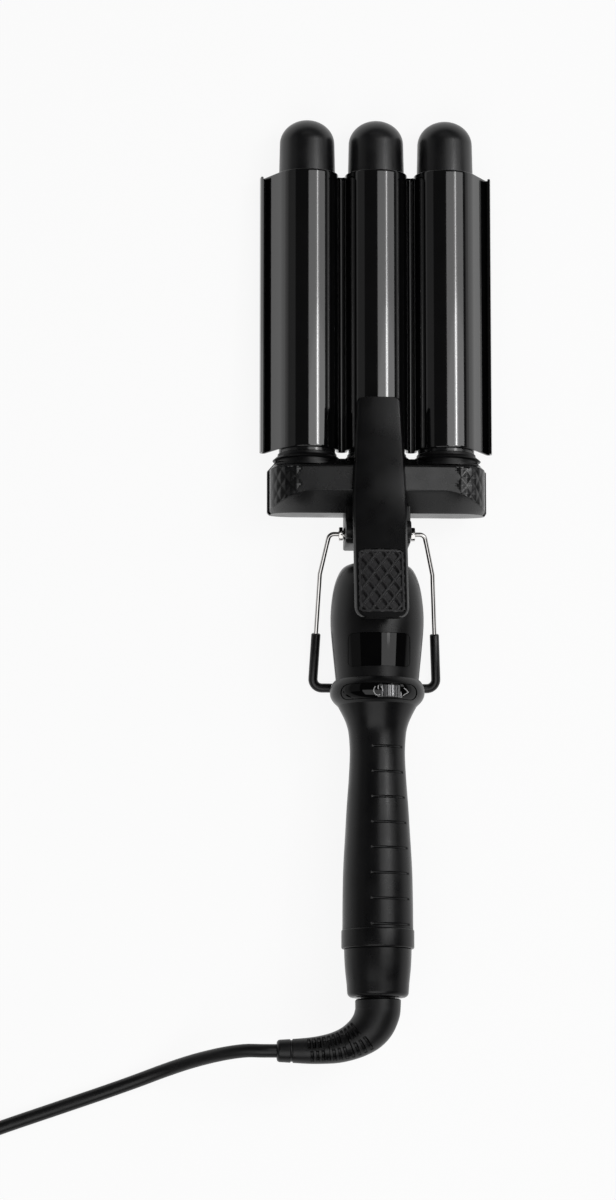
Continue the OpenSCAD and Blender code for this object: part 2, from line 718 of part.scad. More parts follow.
// ---- swept tube ----
// Rings of the given sides, square to the path and carried along it without twist
function path_way(p, i) = let (n = len(p) - 1) unit(
    i == 0 ? p[1] - p[0] : i == n ? p[n] - p[n - 1]
        : unit(p[i] - p[i - 1]) + unit(p[i + 1] - p[i]));
function carried(p, i, side0) = i == 0 ? [square_to(side0, path_way(p, 0))]
    : let (before = carried(p, i - 1, side0)) concat(before, [square_to(before[i - 1], path_way(p, i))]);
function square_to(v, way) = unit(v - way * (v * way));
module tube(p, d, sides, bore = 0, side0 = [0, 0, 1], profile = []) {
    n = len(p);
    out = carried(p, n - 1, side0);
    function rings(r) = [for (i = [0:n - 1], k = [0:sides - 1])
        let (way = path_way(p, i), u = out[i], v = cross(way, u), a = 360 * k / sides)
        p[i] + (is_list(r) ? r[i] : r) * (u * cos(a) + v * sin(a))];
    function walls(base, flip) = [for (i = [0:n - 2], k = [0:sides - 1])
        let (a = base + i * sides + k, b = base + i * sides + (k + 1) % sides)
        each flip ? [[a, b, b + sides], [a, b + sides, a + sides]]
            : [[a, b + sides, b], [a, a + sides, b + sides]]];
    inner = n * sides;
    foot = (n - 1) * sides;
    solid_caps = [for (k = [1:sides - 2]) each [[0, k, k + 1], [foot, foot + k + 1, foot + k]]];
    open_caps = [for (k = [0:sides - 1], from = [0, foot])
        let (a = from + k, b = from + (k + 1) % sides)
        each from == 0 ? [[a, b, inner + b], [a, inner + b, inner + a]]
            : [[a, inner + b, b], [a, inner + a, inner + b]]];
    outer = rings(len(profile) > 0 ? profile : d / 2);
    if (bore > 0) polyhedron(concat(outer, rings(bore / 2)),
        concat(walls(0, false), walls(inner, true), open_caps));
    else polyhedron(outer, concat(walls(0, false), solid_caps));
}

// ---- handle head ----
// Outline of the head as [distance below the mouth, distance inside the largest radius]
head_curve = [[0, 10.5], [1.2, 6.4], [4.1, 3.8], [10.1, 1.6], [18.5, 0.3], [27, 0], [37.1, 0.8], [head_len, 2.3]];
head_profile = smooth([for (c = head_curve) [head_d / 2 - c[1], mouth_y - c[0]]], 3);
head_bore = [for (p = head_profile) if (p[1] < mouth_y - handle_wall)
    [max(p[0] - handle_wall, neck_d / 2 + seat_gap), p[1]]];
window_up = 11.8;
window_y = ring_y + window_up;
window_t = 1.6;
window_lip = 1.5;
module head_blank(by = 0) {
    spin() polygon(concat([[0, mouth_y]], inset(head_profile, by), [[0, ring_y]]));
}
module window_prism(grow) {
    translate([0, window_y, 0]) linear_extrude(huge)
        polygon(rounded(box_outline(window_w + 2 * grow, window_h + 2 * grow), 2));
}
// Screws that close the handle from behind, as stations along it
head_screw_y = mouth_y - head_len * 0.27;
grip_screw_y = [grip_y - grip_len * 0.35, grip_y - grip_len * 0.85];
handle_screw_end = 6;
// Depth of a handle screw's seat below the handle's surface
handle_screw_sink = 3.6;
module handle_boss(y) { translate([0, y, 0]) cylinder(d = boss_d, h = huge, center = true); }
module handle_hole(y, r) {
    translate([0, y, 0]) {
        translate([0, 0, -r]) cylinder(d = pilot_d, h = r + handle_screw_end + pilot_spare);
        translate([0, 0, -huge - r + handle_screw_sink]) cylinder(d = screw_head_d + 2 * seat_gap, h = huge);
    }
}
module head_hollow() {
    difference() {
        head_blank();
        difference() {
            spin() polygon(concat([[0, head_bore[0][1]]], head_bore, [[0, ring_y]]));
            handle_boss(head_screw_y);
        }
        rod_y(neck_d + 2 * seat_gap, mouth_y - handle_wall - over, mouth_y + over);
        handle_hole(head_screw_y, radius_at(head_profile, head_screw_y));
    }
}
module head_front_shell() {
    color("#18191b") {
        difference() {
            front_half() head_hollow();
            difference() {
                window_prism(seat_gap);
                head_blank(window_t + seat_gap);
            }
            window_prism(-window_lip);
        }
        board_posts();
    }
}
module head_back_shell() {
    color("#18191b") back_half() head_hollow();
}
module display_window() {
    color("#050506") difference() {
        intersection() {
            window_prism(0);
            head_blank();
        }
        head_blank(window_t);
    }
}

// ---- board and display inside the head ----
board_w = 22;
board_t = 1.6;
board_z = 9;
board_start = 24;
board_top_y = mouth_y - board_start;
board_past_head = 0.6;
board_low_y = ring_y - board_past_head;
post_d = 3;
post_x = board_w / 2 - 1.7;
// A chip, a relay and a capacitor under the board
chip_w = 5;
chip_t = 2.6;
relay = [7, 8, 6];
can_d = 6;
module board_posts() {
    intersection() {
        for (s = [-1, 1]) translate([s * post_x, board_top_y - 3, board_z + board_t])
            cylinder(d = post_d, h = huge);
        head_blank(handle_wall / 2);
    }
}
module control_board() {
    color("#1e5b39") {
        translate([-board_w / 2, board_low_y, board_z]) cube([board_w, board_top_y - board_low_y, board_t]);
        translate([-chip_w / 2, board_low_y + chip_w, board_z - chip_t]) cube([chip_w, chip_w, chip_t]);
        translate([-relay[0], board_top_y - 2 * relay[1], board_z - relay[2]]) cube(relay);
        translate([can_d, board_top_y - 2 * can_d, board_z - relay[2]]) cylinder(d = can_d, h = relay[2]);
    }
}
// Gaps from the display to the window's edges, and its thickness
display_side = 5;
display_end = 2;
display_t = 3;
module display_module() {
    w = window_w - 2 * display_side;
    h = window_h - 2 * display_end;
    color("#2a3c4f") translate([-w / 2, window_y - h / 2, board_z + board_t]) cube([w, h, display_t]);
}

// ---- control collar ----
ring_wall = 2.4;
// Height of the collar's narrow lower edge, which stands on the grip
ring_neck_h = 0.8;
ring_profile = smooth([for (c = ring_curve) [ring_d / 2 - c[1], ring_y - c[0]]], 2);
strip_down = 6.5;
strip_y = ring_y - strip_down;
strip_t = 1.2;
strip_sink = 0.35;
wheel_r = ring_d / 2 - strip_sink + wheel_proud - wheel_d / 2;
wheel_at = [wheel_r * sin(wheel_angle), strip_y, wheel_r * cos(wheel_angle)];
module ring_blank(by = 0) {
    spin() polygon(concat([[0, ring_y]], inset(ring_profile, by), [[0, grip_y]]));
}
module strip_prism(grow) {
    h = strip_h + 2 * grow;
    w = strip_w + 2 * grow;
    translate([0, strip_y, 0]) linear_extrude(huge) {
        square([w - h, h], center = true);
        for (s = [-1, 1]) translate([s * (w - h) / 2, 0]) circle(d = h);
    }
}
module wheel_slot(gap) {
    translate([wheel_at[0], 0, wheel_at[2]])
        rod_y(wheel_d + 2 * pass_gap, wheel_at[1] - wheel_len / 2 - gap, wheel_at[1] + wheel_len / 2 + gap);
}
module control_collar() {
    color("#18191b") difference() {
        ring_blank();
        spin() polygon([
            [0, ring_y + over], [ring_d / 2 - ring_wall - 2, ring_y + over],
            [ring_d / 2 - ring_wall - 1.6, grip_y + ring_neck_h],
            [grip_top_d / 2 - handle_wall, grip_y - over], [0, grip_y - over]]);
        difference() {
            strip_prism(seat_gap);
            ring_blank(strip_sink + strip_t + seat_gap);
        }
        wheel_slot(pass_gap);
    }
}
module control_strip() {
    color("#060607") difference() {
        intersection() {
            strip_prism(0);
            ring_blank(strip_sink);
        }
        ring_blank(strip_sink + strip_t);
        wheel_slot(pass_gap / 2);
    }
}

// ---- temperature wheel ----
axle_d = 2;
rib_h = 0.5;
module temperature_wheel() {
    step = 360 / wheel_ribs;
    rim = [for (k = [0:wheel_ribs - 1]) each [
        wheel_point(k, 0.12), wheel_point(k, 0.62), wheel_point(k + 0.74, 0.01, rib_h), wheel_point(k + 1, 0, rib_h)]];
    color("#6d7074") translate([wheel_at[0], 0, wheel_at[2]]) {
        along_y(wheel_at[1] - wheel_len / 2, wheel_at[1] + wheel_len / 2) polygon(rim);
        rod_y(axle_d, wheel_at[1] - wheel_len / 2 - 1.4, wheel_at[1] + wheel_len / 2 + 1.4);
    }
}
function wheel_point(k, part, deep = 0) = let (a = 360 * (k + part) / wheel_ribs, r = wheel_d / 2 - deep)
    [r * cos(a), r * sin(a)];
// Width and thickness of the encoder's two cheeks, and how far it reaches below the board
encoder_w = 3.6;
encoder_t = 1;
encoder_drop = 3.6;
module wheel_encoder() {
    cheek = encoder_t;
    out = wheel_len / 2 + pass_gap;
    low = board_z - encoder_drop;
    color("#33363a") difference() {
        union() {
            for (y = [wheel_at[1] - out - cheek, wheel_at[1] + out]) {
                translate([wheel_at[0] - encoder_w / 2, y, low]) cube([encoder_w, cheek, wheel_at[2] - low]);
                translate([wheel_at[0], 0, wheel_at[2]]) rod_y(encoder_w, y, y + cheek);
            }
            translate([wheel_at[0] - encoder_w / 2, wheel_at[1] - out - cheek, low])
                cube([encoder_w, 2 * out + 2 * cheek, cheek]);
            translate([wheel_at[0] - encoder_w / 2, wheel_at[1] + out, low])
                cube([encoder_w, board_low_y - wheel_at[1] - out + encoder_w, encoder_drop]);
        }
        translate([wheel_at[0], 0, wheel_at[2]])
            rod_y(axle_d + 2 * run_gap, wheel_at[1] - out - 2 * cheek, wheel_at[1] + out + 2 * cheek);
    }
}

// ---- grip ----
grip_top_d = ring_d - 2 * ring_curve[len(ring_curve) - 1][1];
// Outline of the grip as [distance below the collar, distance outside its slimmest radius]
grip_curve = [[0, grip_top_d / 2 - grip_waist_d / 2], [4.4, 2.9], [8.4, 1.3], [13, 0.4], [21, 0], [32, 0.5],
    [44.4, 1.4], [58, 2.2], [71.4, 2.95], [85, 3.25], [grip_len, 3.35]];
grip_profile = smooth([for (c = grip_curve) [grip_waist_d / 2 + c[1], grip_y - c[0]]], 3);
groove_from = -15;
groove_sweep = 75;
groove_d = 1;
groove_first = 18.7;
module grip_blank(by = 0) {
    spin() polygon(concat([[0, grip_y]], inset(grip_profile, by), [[0, end_ring_y]]));
}
module grip_hollow() {
    difference() {
        grip_blank();
        difference() {
            grip_blank(handle_wall);
            for (y = grip_screw_y) handle_boss(y);
        }
        for (y = grip_screw_y) handle_hole(y, radius_at(grip_profile, y));
    }
}
module grip_front_shell() {
    color("#17181a") difference() {
        front_half() grip_hollow();
        for (k = [0:grip_groove_count - 1])
            let (y = grip_y - groove_first - k * grip_groove_pitch)
            spin(groove_from, groove_sweep) translate([radius_at(grip_profile, y), y]) circle(d = groove_d, $fn = 16);
    }
}
module grip_back_shell() {
    color("#17181a") back_half() grip_hollow();
}
module handle_screws() {
    color("#8f9296") {
        handle_screw(head_screw_y, radius_at(head_profile, head_screw_y));
        for (y = grip_screw_y) handle_screw(y, radius_at(grip_profile, y));
    }
}
module handle_screw(y, r) {
    seat = r - handle_screw_sink + seat_gap;
    translate([0, y, -seat]) {
        cylinder(d = screw_d, h = seat + handle_screw_end);
        translate([0, 0, -screw_head_h]) cylinder(d = screw_head_d, h = screw_head_h);
    }
}

// ---- lower end ----
cap_wall = 2;
cap_edge = 2;
module end_ring() {
    edge = 0.8;
    color("#151516") spin() polygon(concat([
        [cap_d / 2 - cap_wall - 1, cap_y], [end_ring_d / 2 - edge, cap_y], [end_ring_d / 2, cap_y + edge],
        [end_ring_d / 2, end_ring_y - edge], [end_ring_d / 2 - edge, end_ring_y],
        [cap_d / 2 - cap_wall - 1, end_ring_y]]));
}
ferrule_d = 15;
ferrule_flange_d = 19;
ferrule_flange_t = 2;
swivel_gap = 0.5;
module end_cap() {
    in_r = cap_d / 2 - cap_wall;
    foot_in_r = cap_foot_d / 2 - cap_wall;
    turned = [for (k = [0:4]) let (a = 90 * k / 4)
        [cap_foot_d / 2 - cap_edge + cap_edge * cos(a), foot_y + cap_edge - cap_edge * sin(a)]];
    color("#161617") spin() polygon(concat(
        [[in_r, cap_y], [cap_d / 2, cap_y]], turned,
        [[ferrule_d / 2 + run_gap, foot_y], [ferrule_d / 2 + run_gap, foot_y + cap_wall],
         [foot_in_r, foot_y + cap_wall]]));
}
module swivel_ferrule() {
    low = foot_y - swivel_gap;
    shelf = foot_y + cap_wall + pass_gap / 2;
    bore_r = lead_d / 2 + 0.5;
    color("#1c1c1d") spin() polygon([
        [bore_r, low], [ferrule_d / 2, low], [ferrule_d / 2, shelf],
        [ferrule_flange_d / 2, shelf], [ferrule_flange_d / 2, shelf + ferrule_flange_t],
        [bore_r, shelf + ferrule_flange_t]]);
}

// ---- strain relief boot ----
// Its centre line from the swivel round the elbow, and its radius along it
boot_top = foot_y - swivel_gap - 2 * seat_gap;
boot_line = [[0, 0], [0, -3], [-0.3, -6], [-2, -10.4], [-4.8, -14], [-8.7, -17], [-13.2, -19.3], [-18.2, -20.9],
    [-23.7, -21.8], [-29.9, -22.3], [-37, -22.4], [-44, -22.4]];
boot_radii = [1, 0.99, 0.98, 0.95, 0.9, 0.82, 0.74, 0.68, 0.62, 0.57, 0.52, 0.48];
boot_steps = 6;
boot_path = smooth([for (p = boot_line) [p[0], boot_top + p[1], 0]], boot_steps);
boot_swell = [for (p = smooth([for (r = boot_radii) [r, 0]], boot_steps)) p[0] * boot_d / 2];
boot_end = boot_path[len(boot_path) - 1];
boot_low = min([for (i = [0:len(boot_path) - 1]) boot_path[i][1] - boot_swell[i]]);
// The slots that let it bend, as steps along the line, and their depth
slots_from = 5 * boot_steps;
slots_to = 9.4 * boot_steps;
slot_depth = 0.9;
module strain_relief_boot() {
    n = len(boot_path);
    shape = [for (i = [0:n - 1])
        boot_swell[i] - (i > slots_from && i < slots_to && i % 2 == 1 ? slot_depth : 0)];
    color("#131314") tube(boot_path, boot_d, 16, profile = shape);
}

// ---- the tool lying on its back ----
lay_tilt = atan((stand_foot_z + stand_sleeve_d / 2 - tip_neck_d / 2) / (stand_foot_y + tip_rest_y));
lay_up = stand_foot_z * cos(lay_tilt) - stand_foot_y * sin(lay_tilt) + stand_sleeve_d / 2;
// Moves the middle of the tool's length over the origin
lay_along = -(tip_top + boot_low) / 2 * cos(lay_tilt);
function placed(p) = [p[0],
    p[1] * cos(lay_tilt) + p[2] * sin(lay_tilt) + lay_along,
    p[2] * cos(lay_tilt) - p[1] * sin(lay_tilt) + lay_up];
module place() { translate([0, lay_along, lay_up]) rotate([-lay_tilt, 0, 0]) children(); }
echo(lay_tilt = lay_tilt, lay_up = lay_up, lay_along = lay_along);

// ---- inner wires ----
wire_d = 2.2;
branch_y = crossbar_base + 4.6;
module heater_wires() {
    low = board_top_y - wire_d;
    color("#7a2d26") {
        at_looms() {
            rod_y(wire_d, low, branch_y);
            translate([0, low, 0]) cylinder(d = wire_d, h = board_z - loom_z);
        }
        translate([0, branch_y, loom_z]) rod_x(wire_d, 2 * barrel_pitch + wire_d);
        for (i = side) translate([i * barrel_pitch, 0, loom_z]) rod_y(wire_d, branch_y, heater_foot);
    }
}
module supply_wires() {
    low = foot_y + cap_wall + ferrule_flange_t + wire_d;
    high = board_low_y + 4 * wire_d;
    color("#3b3f46") for (s = [-1, 1]) translate([s * loom_x, 0, 0]) {
        rod_y(wire_d, low, high);
        translate([0, high - wire_d / 2, 0]) cylinder(d = wire_d, h = board_z);
    }
}

// ---- mains lead ----
// Its route over the table: out of the boot, down onto the table and away to the coil, as
// distances from the boot's end along the table, with the height over the table
table_z = lead_d / 2;
lead_exit = placed(boot_end);
lead_steps = [[-14, 0, 29], [-24, -1.5, 24], [-36, -4.5, 16], [-48, -8.5, 9], [-60, -13, 4.6],
    [-74, -18, table_z], [-96, -25.5, table_z], [-118, -33, table_z], [-140, -41, table_z]];
lead_points = concat([lead_exit + [-pass_gap, 0, 0], lead_exit + [-lead_d, 0, 0]],
    [for (p = lead_steps) [lead_exit[0] + p[0], lead_exit[1] + p[1], p[2]]]);
// The coil's centre, and its innermost turns
coil_away = 177;
coil_back = 9.5;
coil_in_r = 24.5;
coil_x = lead_exit[0] - coil_away;
coil_y = lead_exit[1] - coil_back;
coil_enter = -71;
coil_layers = 4;
layer_rise = lead_d + 0.6;
turn_step = (coil_r - coil_in_r) * coil_layers / coil_turns;
function sway(t) = let (m = coil_turns / coil_layers, w = t - 2 * m * floor(t / (2 * m))) w < m ? w : 2 * m - w;
function climbed(t) = let (m = coil_turns / coil_layers, k = round(t / m),
    u = max(-0.25, min(0.25, t - k * m)) * 4, s = (3 * u - u * u * u) / 4)
    k < 1 ? 0 : k > coil_layers - 1 ? coil_layers - 1 : k - 0.5 + s;
function coil_point(t) = let (a = coil_enter - 360 * t, r = coil_r - turn_step * sway(t))
    [coil_x + r * cos(a), coil_y + r * sin(a), table_z + layer_rise * climbed(t)];
function coil_way(t) = unit(coil_point(t + 0.001) - coil_point(t - 0.001));
coil_in = coil_point(0);
coil_in_way = [sin(coil_enter), -cos(coil_enter), 0];
coil_steps = floor(24 * coil_turns);
coil_out_a = coil_enter - 360 * coil_turns;
coil_out_way = [sin(coil_out_a), -cos(coil_out_a), 0];
coil_out = coil_point(coil_turns);
coil_path = concat(
    [coil_in - coil_in_way * lead_d], [for (k = [0:coil_steps]) coil_point(coil_turns * k / coil_steps)],
    [coil_out + coil_out_way * lead_d]);
coil_gap = min([for (i = [0:len(coil_path) - 1], j = [i + 8:1:len(coil_path) - 1])
    norm(coil_path[i] - coil_path[j])]) - lead_d;
function path_length(p) = len(p) < 2 ? 0 : sum([for (i = [1:len(p) - 1]) norm(p[i] - p[i - 1])]);
function sum(v, i = 0) = i == len(v) ? 0 : v[i] + sum(v, i + 1);
module mains_lead() {
    color("#111112") tube(smooth(concat(lead_points, [coil_path[0] - coil_in_way * 8, coil_path[0]]), 1), lead_d, 8);
}
module lead_coil() {
    color("#111112") tube(coil_path, lead_d, 6);
}

// Tail from the coil down to the plug
tail_top = coil_path[len(coil_path) - 1];
plug_w = 24;
plug_h = 18;
plug_z = plug_h / 2;
tail_steps = [[26, 21], [40, 15], [54, 11], [66, plug_z], [78, plug_z], [94, plug_z]];
tail_points = concat([tail_top, tail_top + [0, lead_d, 0]],
    [for (p = tail_steps) [coil_x - coil_r, coil_y + p[0], p[1]]]);
plug_at = tail_points[len(tail_points) - 1];
echo(coil_gap = coil_gap, coil_length = path_length(coil_path), lead_length = path_length(lead_points),
    tail_length = path_length(tail_points), lead_exit = lead_exit, tail_top = tail_top, coil_start = coil_path[0],
    plug_at = plug_at);
module lead_tail() {
    color("#111112") tube(tail_points, lead_d, 8);
}

// ---- plug ----
pin_len = 19;
pin_d = 4;
pin_apart = 19;
module plug_body() {
    neck = 10;
    color("#141415") translate(plug_at) {
        translate([0, neck, 0]) rotate([-90, 0, 0]) linear_extrude(plug_len - neck)
            polygon(rounded(box_outline(plug_w, plug_h), 4));
        rod_y(lead_d + 5, 0, neck + over);
    }
}
module plug_pins() {
    color("#c5c8cc") translate(plug_at) for (s = [-1, 1]) translate([s * pin_apart / 2, 0, 0])
        rod_y(pin_d, plug_len, plug_len + pin_len);
}

place() barrel(-1);  // barrel_left
place() barrel(0);  // barrel_middle
place() barrel(1);  // barrel_right
place() barrel_tip(-1);  // barrel_tip_left
place() barrel_tip(0);  // barrel_tip_middle
place() barrel_tip(1);  // barrel_tip_right
place() heater(-1);  // heater_left
place() heater(0);  // heater_middle
place() heater(1);  // heater_right
place() barrel_collar(-1);  // barrel_collar_left
place() barrel_collar(0);  // barrel_collar_middle
place() barrel_collar(1);  // barrel_collar_right
place() crossbar_front_shell();
place() crossbar_back_shell();
place() crossbar_screws();
place() hinge_block();
place() hinge_block_screws();
place() neck_tube();
place() stand_bushes();
place() clamp_plate();
place() lever_bracket();
place() lever_cover();
place() lever_pad();
place() lever_rivets();
place() hinge_pin();
place() closing_spring();
place() stand_wire();
place() stand_sleeve();
place() head_front_shell();
place() head_back_shell();
place() display_window();
place() display_module();
place() control_board();
place() control_collar();
place() control_strip();
place() temperature_wheel();
place() wheel_encoder();
place() grip_front_shell();
place() grip_back_shell();
place() handle_screws();
place() end_ring();
place() end_cap();
place() heater_wires();
place() supply_wires();
place() swivel_ferrule();
place() strain_relief_boot();
mains_lead();
lead_coil();
lead_tail();
plug_body();
plug_pins();
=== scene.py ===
"""Hair waver lying on its back on a white table, seen from over its front."""
import math

import bmesh
import bpy
from mathutils import Matrix, Vector


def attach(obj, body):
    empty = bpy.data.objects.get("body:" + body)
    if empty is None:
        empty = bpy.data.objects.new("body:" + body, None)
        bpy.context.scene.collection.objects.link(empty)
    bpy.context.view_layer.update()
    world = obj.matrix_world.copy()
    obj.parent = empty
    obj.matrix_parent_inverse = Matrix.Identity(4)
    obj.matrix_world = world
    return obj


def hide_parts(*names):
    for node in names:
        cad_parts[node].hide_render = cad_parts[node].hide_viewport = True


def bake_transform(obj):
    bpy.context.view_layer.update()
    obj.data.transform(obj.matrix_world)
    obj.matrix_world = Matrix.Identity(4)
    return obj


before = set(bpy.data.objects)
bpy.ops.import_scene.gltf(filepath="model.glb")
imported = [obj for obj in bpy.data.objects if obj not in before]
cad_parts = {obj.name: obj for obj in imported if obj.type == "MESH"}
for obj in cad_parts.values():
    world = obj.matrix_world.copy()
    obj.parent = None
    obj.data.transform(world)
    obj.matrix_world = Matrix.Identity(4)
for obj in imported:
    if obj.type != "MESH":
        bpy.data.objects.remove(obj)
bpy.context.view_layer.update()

SCENE = bpy.context.scene
MM = 0.001
SIDES = ((-1, "left"), (0, "middle"), (1, "right"))

# ---- sizes of the CAD model in millimetres, in the tool's own frame: X across, +Y from the hinge
# line to the barrel tips, +Z out of the front ----
BARREL_D, PITCH, BARREL_WALL, TIP_D, TIP_DOME = 25, 30.8, 1.2, 25, 10.8
PLATE_GAP, PLATE_T, GROOVE_DROP, WING_ANGLE, WING_LEN, LIP_H = 0.35, 1.1, 1, 29, 13.8, 2.6
LIP_R, LIP_LEAN = 1.05, 10
BAR_BASE, BAR_TOP, BAR_W, BAR_DEPTH, BAR_END_R = 8.4, 32.4, 97, 34, 13.4
BARREL_END = BAR_TOP + 129.3
TIP_REST = BARREL_END + 14.9
TIP_TOP = TIP_REST + TIP_DOME
PLATE_LOW, PLATE_HIGH = BAR_TOP + 4.6, BARREL_END + 0.6
COLLAR_D = 26.8
HINGE_Z, BLOCK_W, BLOCK_BELOW, BLOCK_BACK = 12, 28.6, 5.5, 12
LEVER_W, LEVER_TIP_W, LEVER_UP, LEVER_DOWN = 23.6, 19, 58, 43
LEVER_UP_R, LEVER_LOW_R = 2, 5
PAD_LEN, PAD_W, PAD_MARGIN = 30.5, 20, 1.8
WIRE_D, SLEEVE_D, SLEEVE_LEN = 2, 4.1, 24.5
BUSH_T, FOOT_W, KNEE, KNEE_W, WIRE_BEND, HIP_BEND = 2.7, 55, 17.9, 49.8, 4, 2.6
PIVOT_W = BLOCK_W + 2 * BUSH_T
HIP_W = PIVOT_W + 8
MOUTH, HEAD_D, HEAD_LEN, RING_D, RING_LEN = -13.5, 41, 52.1, 41.6, 11
GRIP_LEN, WAIST_D, WALL = 97.9, 24.2, 2.2
RING_Y = MOUTH - HEAD_LEN
GRIP_Y = RING_Y - RING_LEN
END_RING_Y = GRIP_Y - GRIP_LEN
END_RING_D, END_RING_LEN, CAP_D, CAP_FOOT_D, CAP_LEN = 31.8, 8.4, 29.4, 26.2, 21.1
CAP_Y = END_RING_Y - END_RING_LEN
FOOT_Y = CAP_Y - CAP_LEN
BOOT_TOP = FOOT_Y - 0.7
WINDOW_W, WINDOW_H, WINDOW_Y = 27.2, 14.6, RING_Y + 11.8
STRIP_W, STRIP_H, STRIP_Y, STRIP_SINK = 33.6, 6.7, RING_Y - 6.5, 0.35
WHEEL_D, WHEEL_LEN, WHEEL_ANGLE, WHEEL_RIBS = 14, 5.4, 14.5, 26
WHEEL_R = RING_D / 2 - STRIP_SINK + 0.9 - WHEEL_D / 2
LEAD_D, BOOT_D, COIL_R, COIL_INNER_R, TURNS, COIL_LAYERS = 6, 20, 42, 24.5, 10.3, 4
COIL_LEFT, COIL_BELOW, COIL_ENTER, COIL_GAP = 177, 9.5, -71, 0.6
LEAD_BEND, LEAD_BEND_BELOW = 50, 9.2
PLUG_LEN, PIN_R, PIN_LEN, PIN_SPACING = 36, 2, 19, 19
GROOVE_FIRST, GROOVE_PITCH, GROOVES, GROOVE_FROM, GROOVE_TO = 18.7, 11.1, 8, -15, 60


def sin(a):
    return math.sin(math.radians(a))


def cos(a):
    return math.cos(math.radians(a))


# ---- the tool lying on its back, as the CAD model lays it ----
RING_TOP_R = RING_D / 2 - 1.9
STAND_FOOT = (-RING_Y, RING_TOP_R + SLEEVE_D / 2 + 0.7)
STAND_FOLD = math.degrees(math.atan2(STAND_FOOT[1], STAND_FOOT[0]))
STAND_LEN = math.hypot(*STAND_FOOT)
TILT = math.degrees(math.atan((STAND_FOOT[1] + SLEEVE_D / 2 - (TIP_D - 0.6) / 2)
                              / (STAND_FOOT[0] + TIP_REST)))
LAY_UP = STAND_FOOT[1] * cos(TILT) - STAND_FOOT[0] * sin(TILT) + SLEEVE_D / 2


def smooth(points, steps):
    """A smooth line through the points, with so many pieces between each pair."""
    points = [Vector(p) for p in points]
    out = []
    for i in range(len(points) - 1):
        a, b = points[max(i - 1, 0)], points[i]
        c, d = points[i + 1], points[min(i + 2, len(points) - 1)]
        for k in range(steps):
            t = k / steps
            out.append(b + (c - a) * t / 2 + (2 * a - 5 * b + 4 * c - d) * t * t / 2
                       + (3 * b - a - 3 * c + d) * t ** 3 / 2)
    return out + [points[-1]]


def unit(value):
    """The value, held between 0 and 1."""
    return min(max(value, 0), 1)


# The boot's line, and its radius at each point as a share of its radius at the top
BOOT_LINE = [(0, 0), (0, -3), (-0.3, -6), (-2, -10.4), (-4.8, -14), (-8.7, -17), (-13.2, -19.3),
             (-18.2, -20.9), (-23.7, -21.8), (-29.9, -22.3), (-37, -22.4), (-44, -22.4)]
BOOT_SHARES = [1, 0.99, 0.98, 0.95, 0.9, 0.82, 0.74, 0.68, 0.62, 0.57, 0.52, 0.48]
BOOT_STEPS = 6


def boot_radii(steps):
    return [p[0] * BOOT_D / 2 for p in smooth([(share, 0) for share in BOOT_SHARES], steps)]


BOOT_LOW = BOOT_TOP + min(p[1] - r for p, r in zip(smooth(BOOT_LINE, BOOT_STEPS), boot_radii(BOOT_STEPS)))
LAY_ALONG = -(TIP_TOP + BOOT_LOW) / 2 * cos(TILT)


def place(x, y, z):
    """A point of the tool's frame, in millimetres, as a point of the row frame, in metres."""
    return (x * MM, (y * cos(TILT) + z * sin(TILT) + LAY_ALONG) * MM,
            (z * cos(TILT) - y * sin(TILT) + LAY_UP) * MM)


def row(x, y, z):
    return (x * MM, y * MM, z * MM)


def new_object(name, data):
    obj = bpy.data.objects.new(name, data)
    SCENE.collection.objects.link(obj)
    return obj


def standing(right, up, back, at):
    """The matrix of an object at a place, with its own three axes along these directions."""
    return Matrix([[v[i] for v in (right, up, back, at)] for i in range(3)] + [[0, 0, 0, 1]])


# ---- camera: its place and aim in the tool's frame, and its focal length in pixels of the view ----
EYE, AIM = (-115, -324.3, 1890), (-30.4, -29.5, 0)
FOCAL_PX, VIEW_HEIGHT_PX, SENSOR = 4352, 1200, 36


def set_camera():
    eye, aim = Vector(place(*EYE)), Vector(place(*AIM))
    back = (eye - aim).normalized()
    up = Vector(place(0, 1, 0)) - Vector(place(0, 0, 0))
    right = up.cross(back).normalized()
    up = back.cross(right)
    data = bpy.data.cameras.new("camera")
    data.sensor_fit = "VERTICAL"
    data.sensor_height = SENSOR
    data.lens = FOCAL_PX / VIEW_HEIGHT_PX * SENSOR
    data.clip_end = 20
    SCENE.camera = new_object("camera", data)
    SCENE.camera.matrix_world = standing(right, up, back, eye)


set_camera()


# ---- materials ----
def with_nodes(owner):
    """Turns on the nodes of a material or world, and gives its nodes and their links."""
    owner.use_nodes = True
    return owner.node_tree.nodes, owner.node_tree.links


def fill(node, values):
    for name, value in values.items():
        node.inputs[name].default_value = value


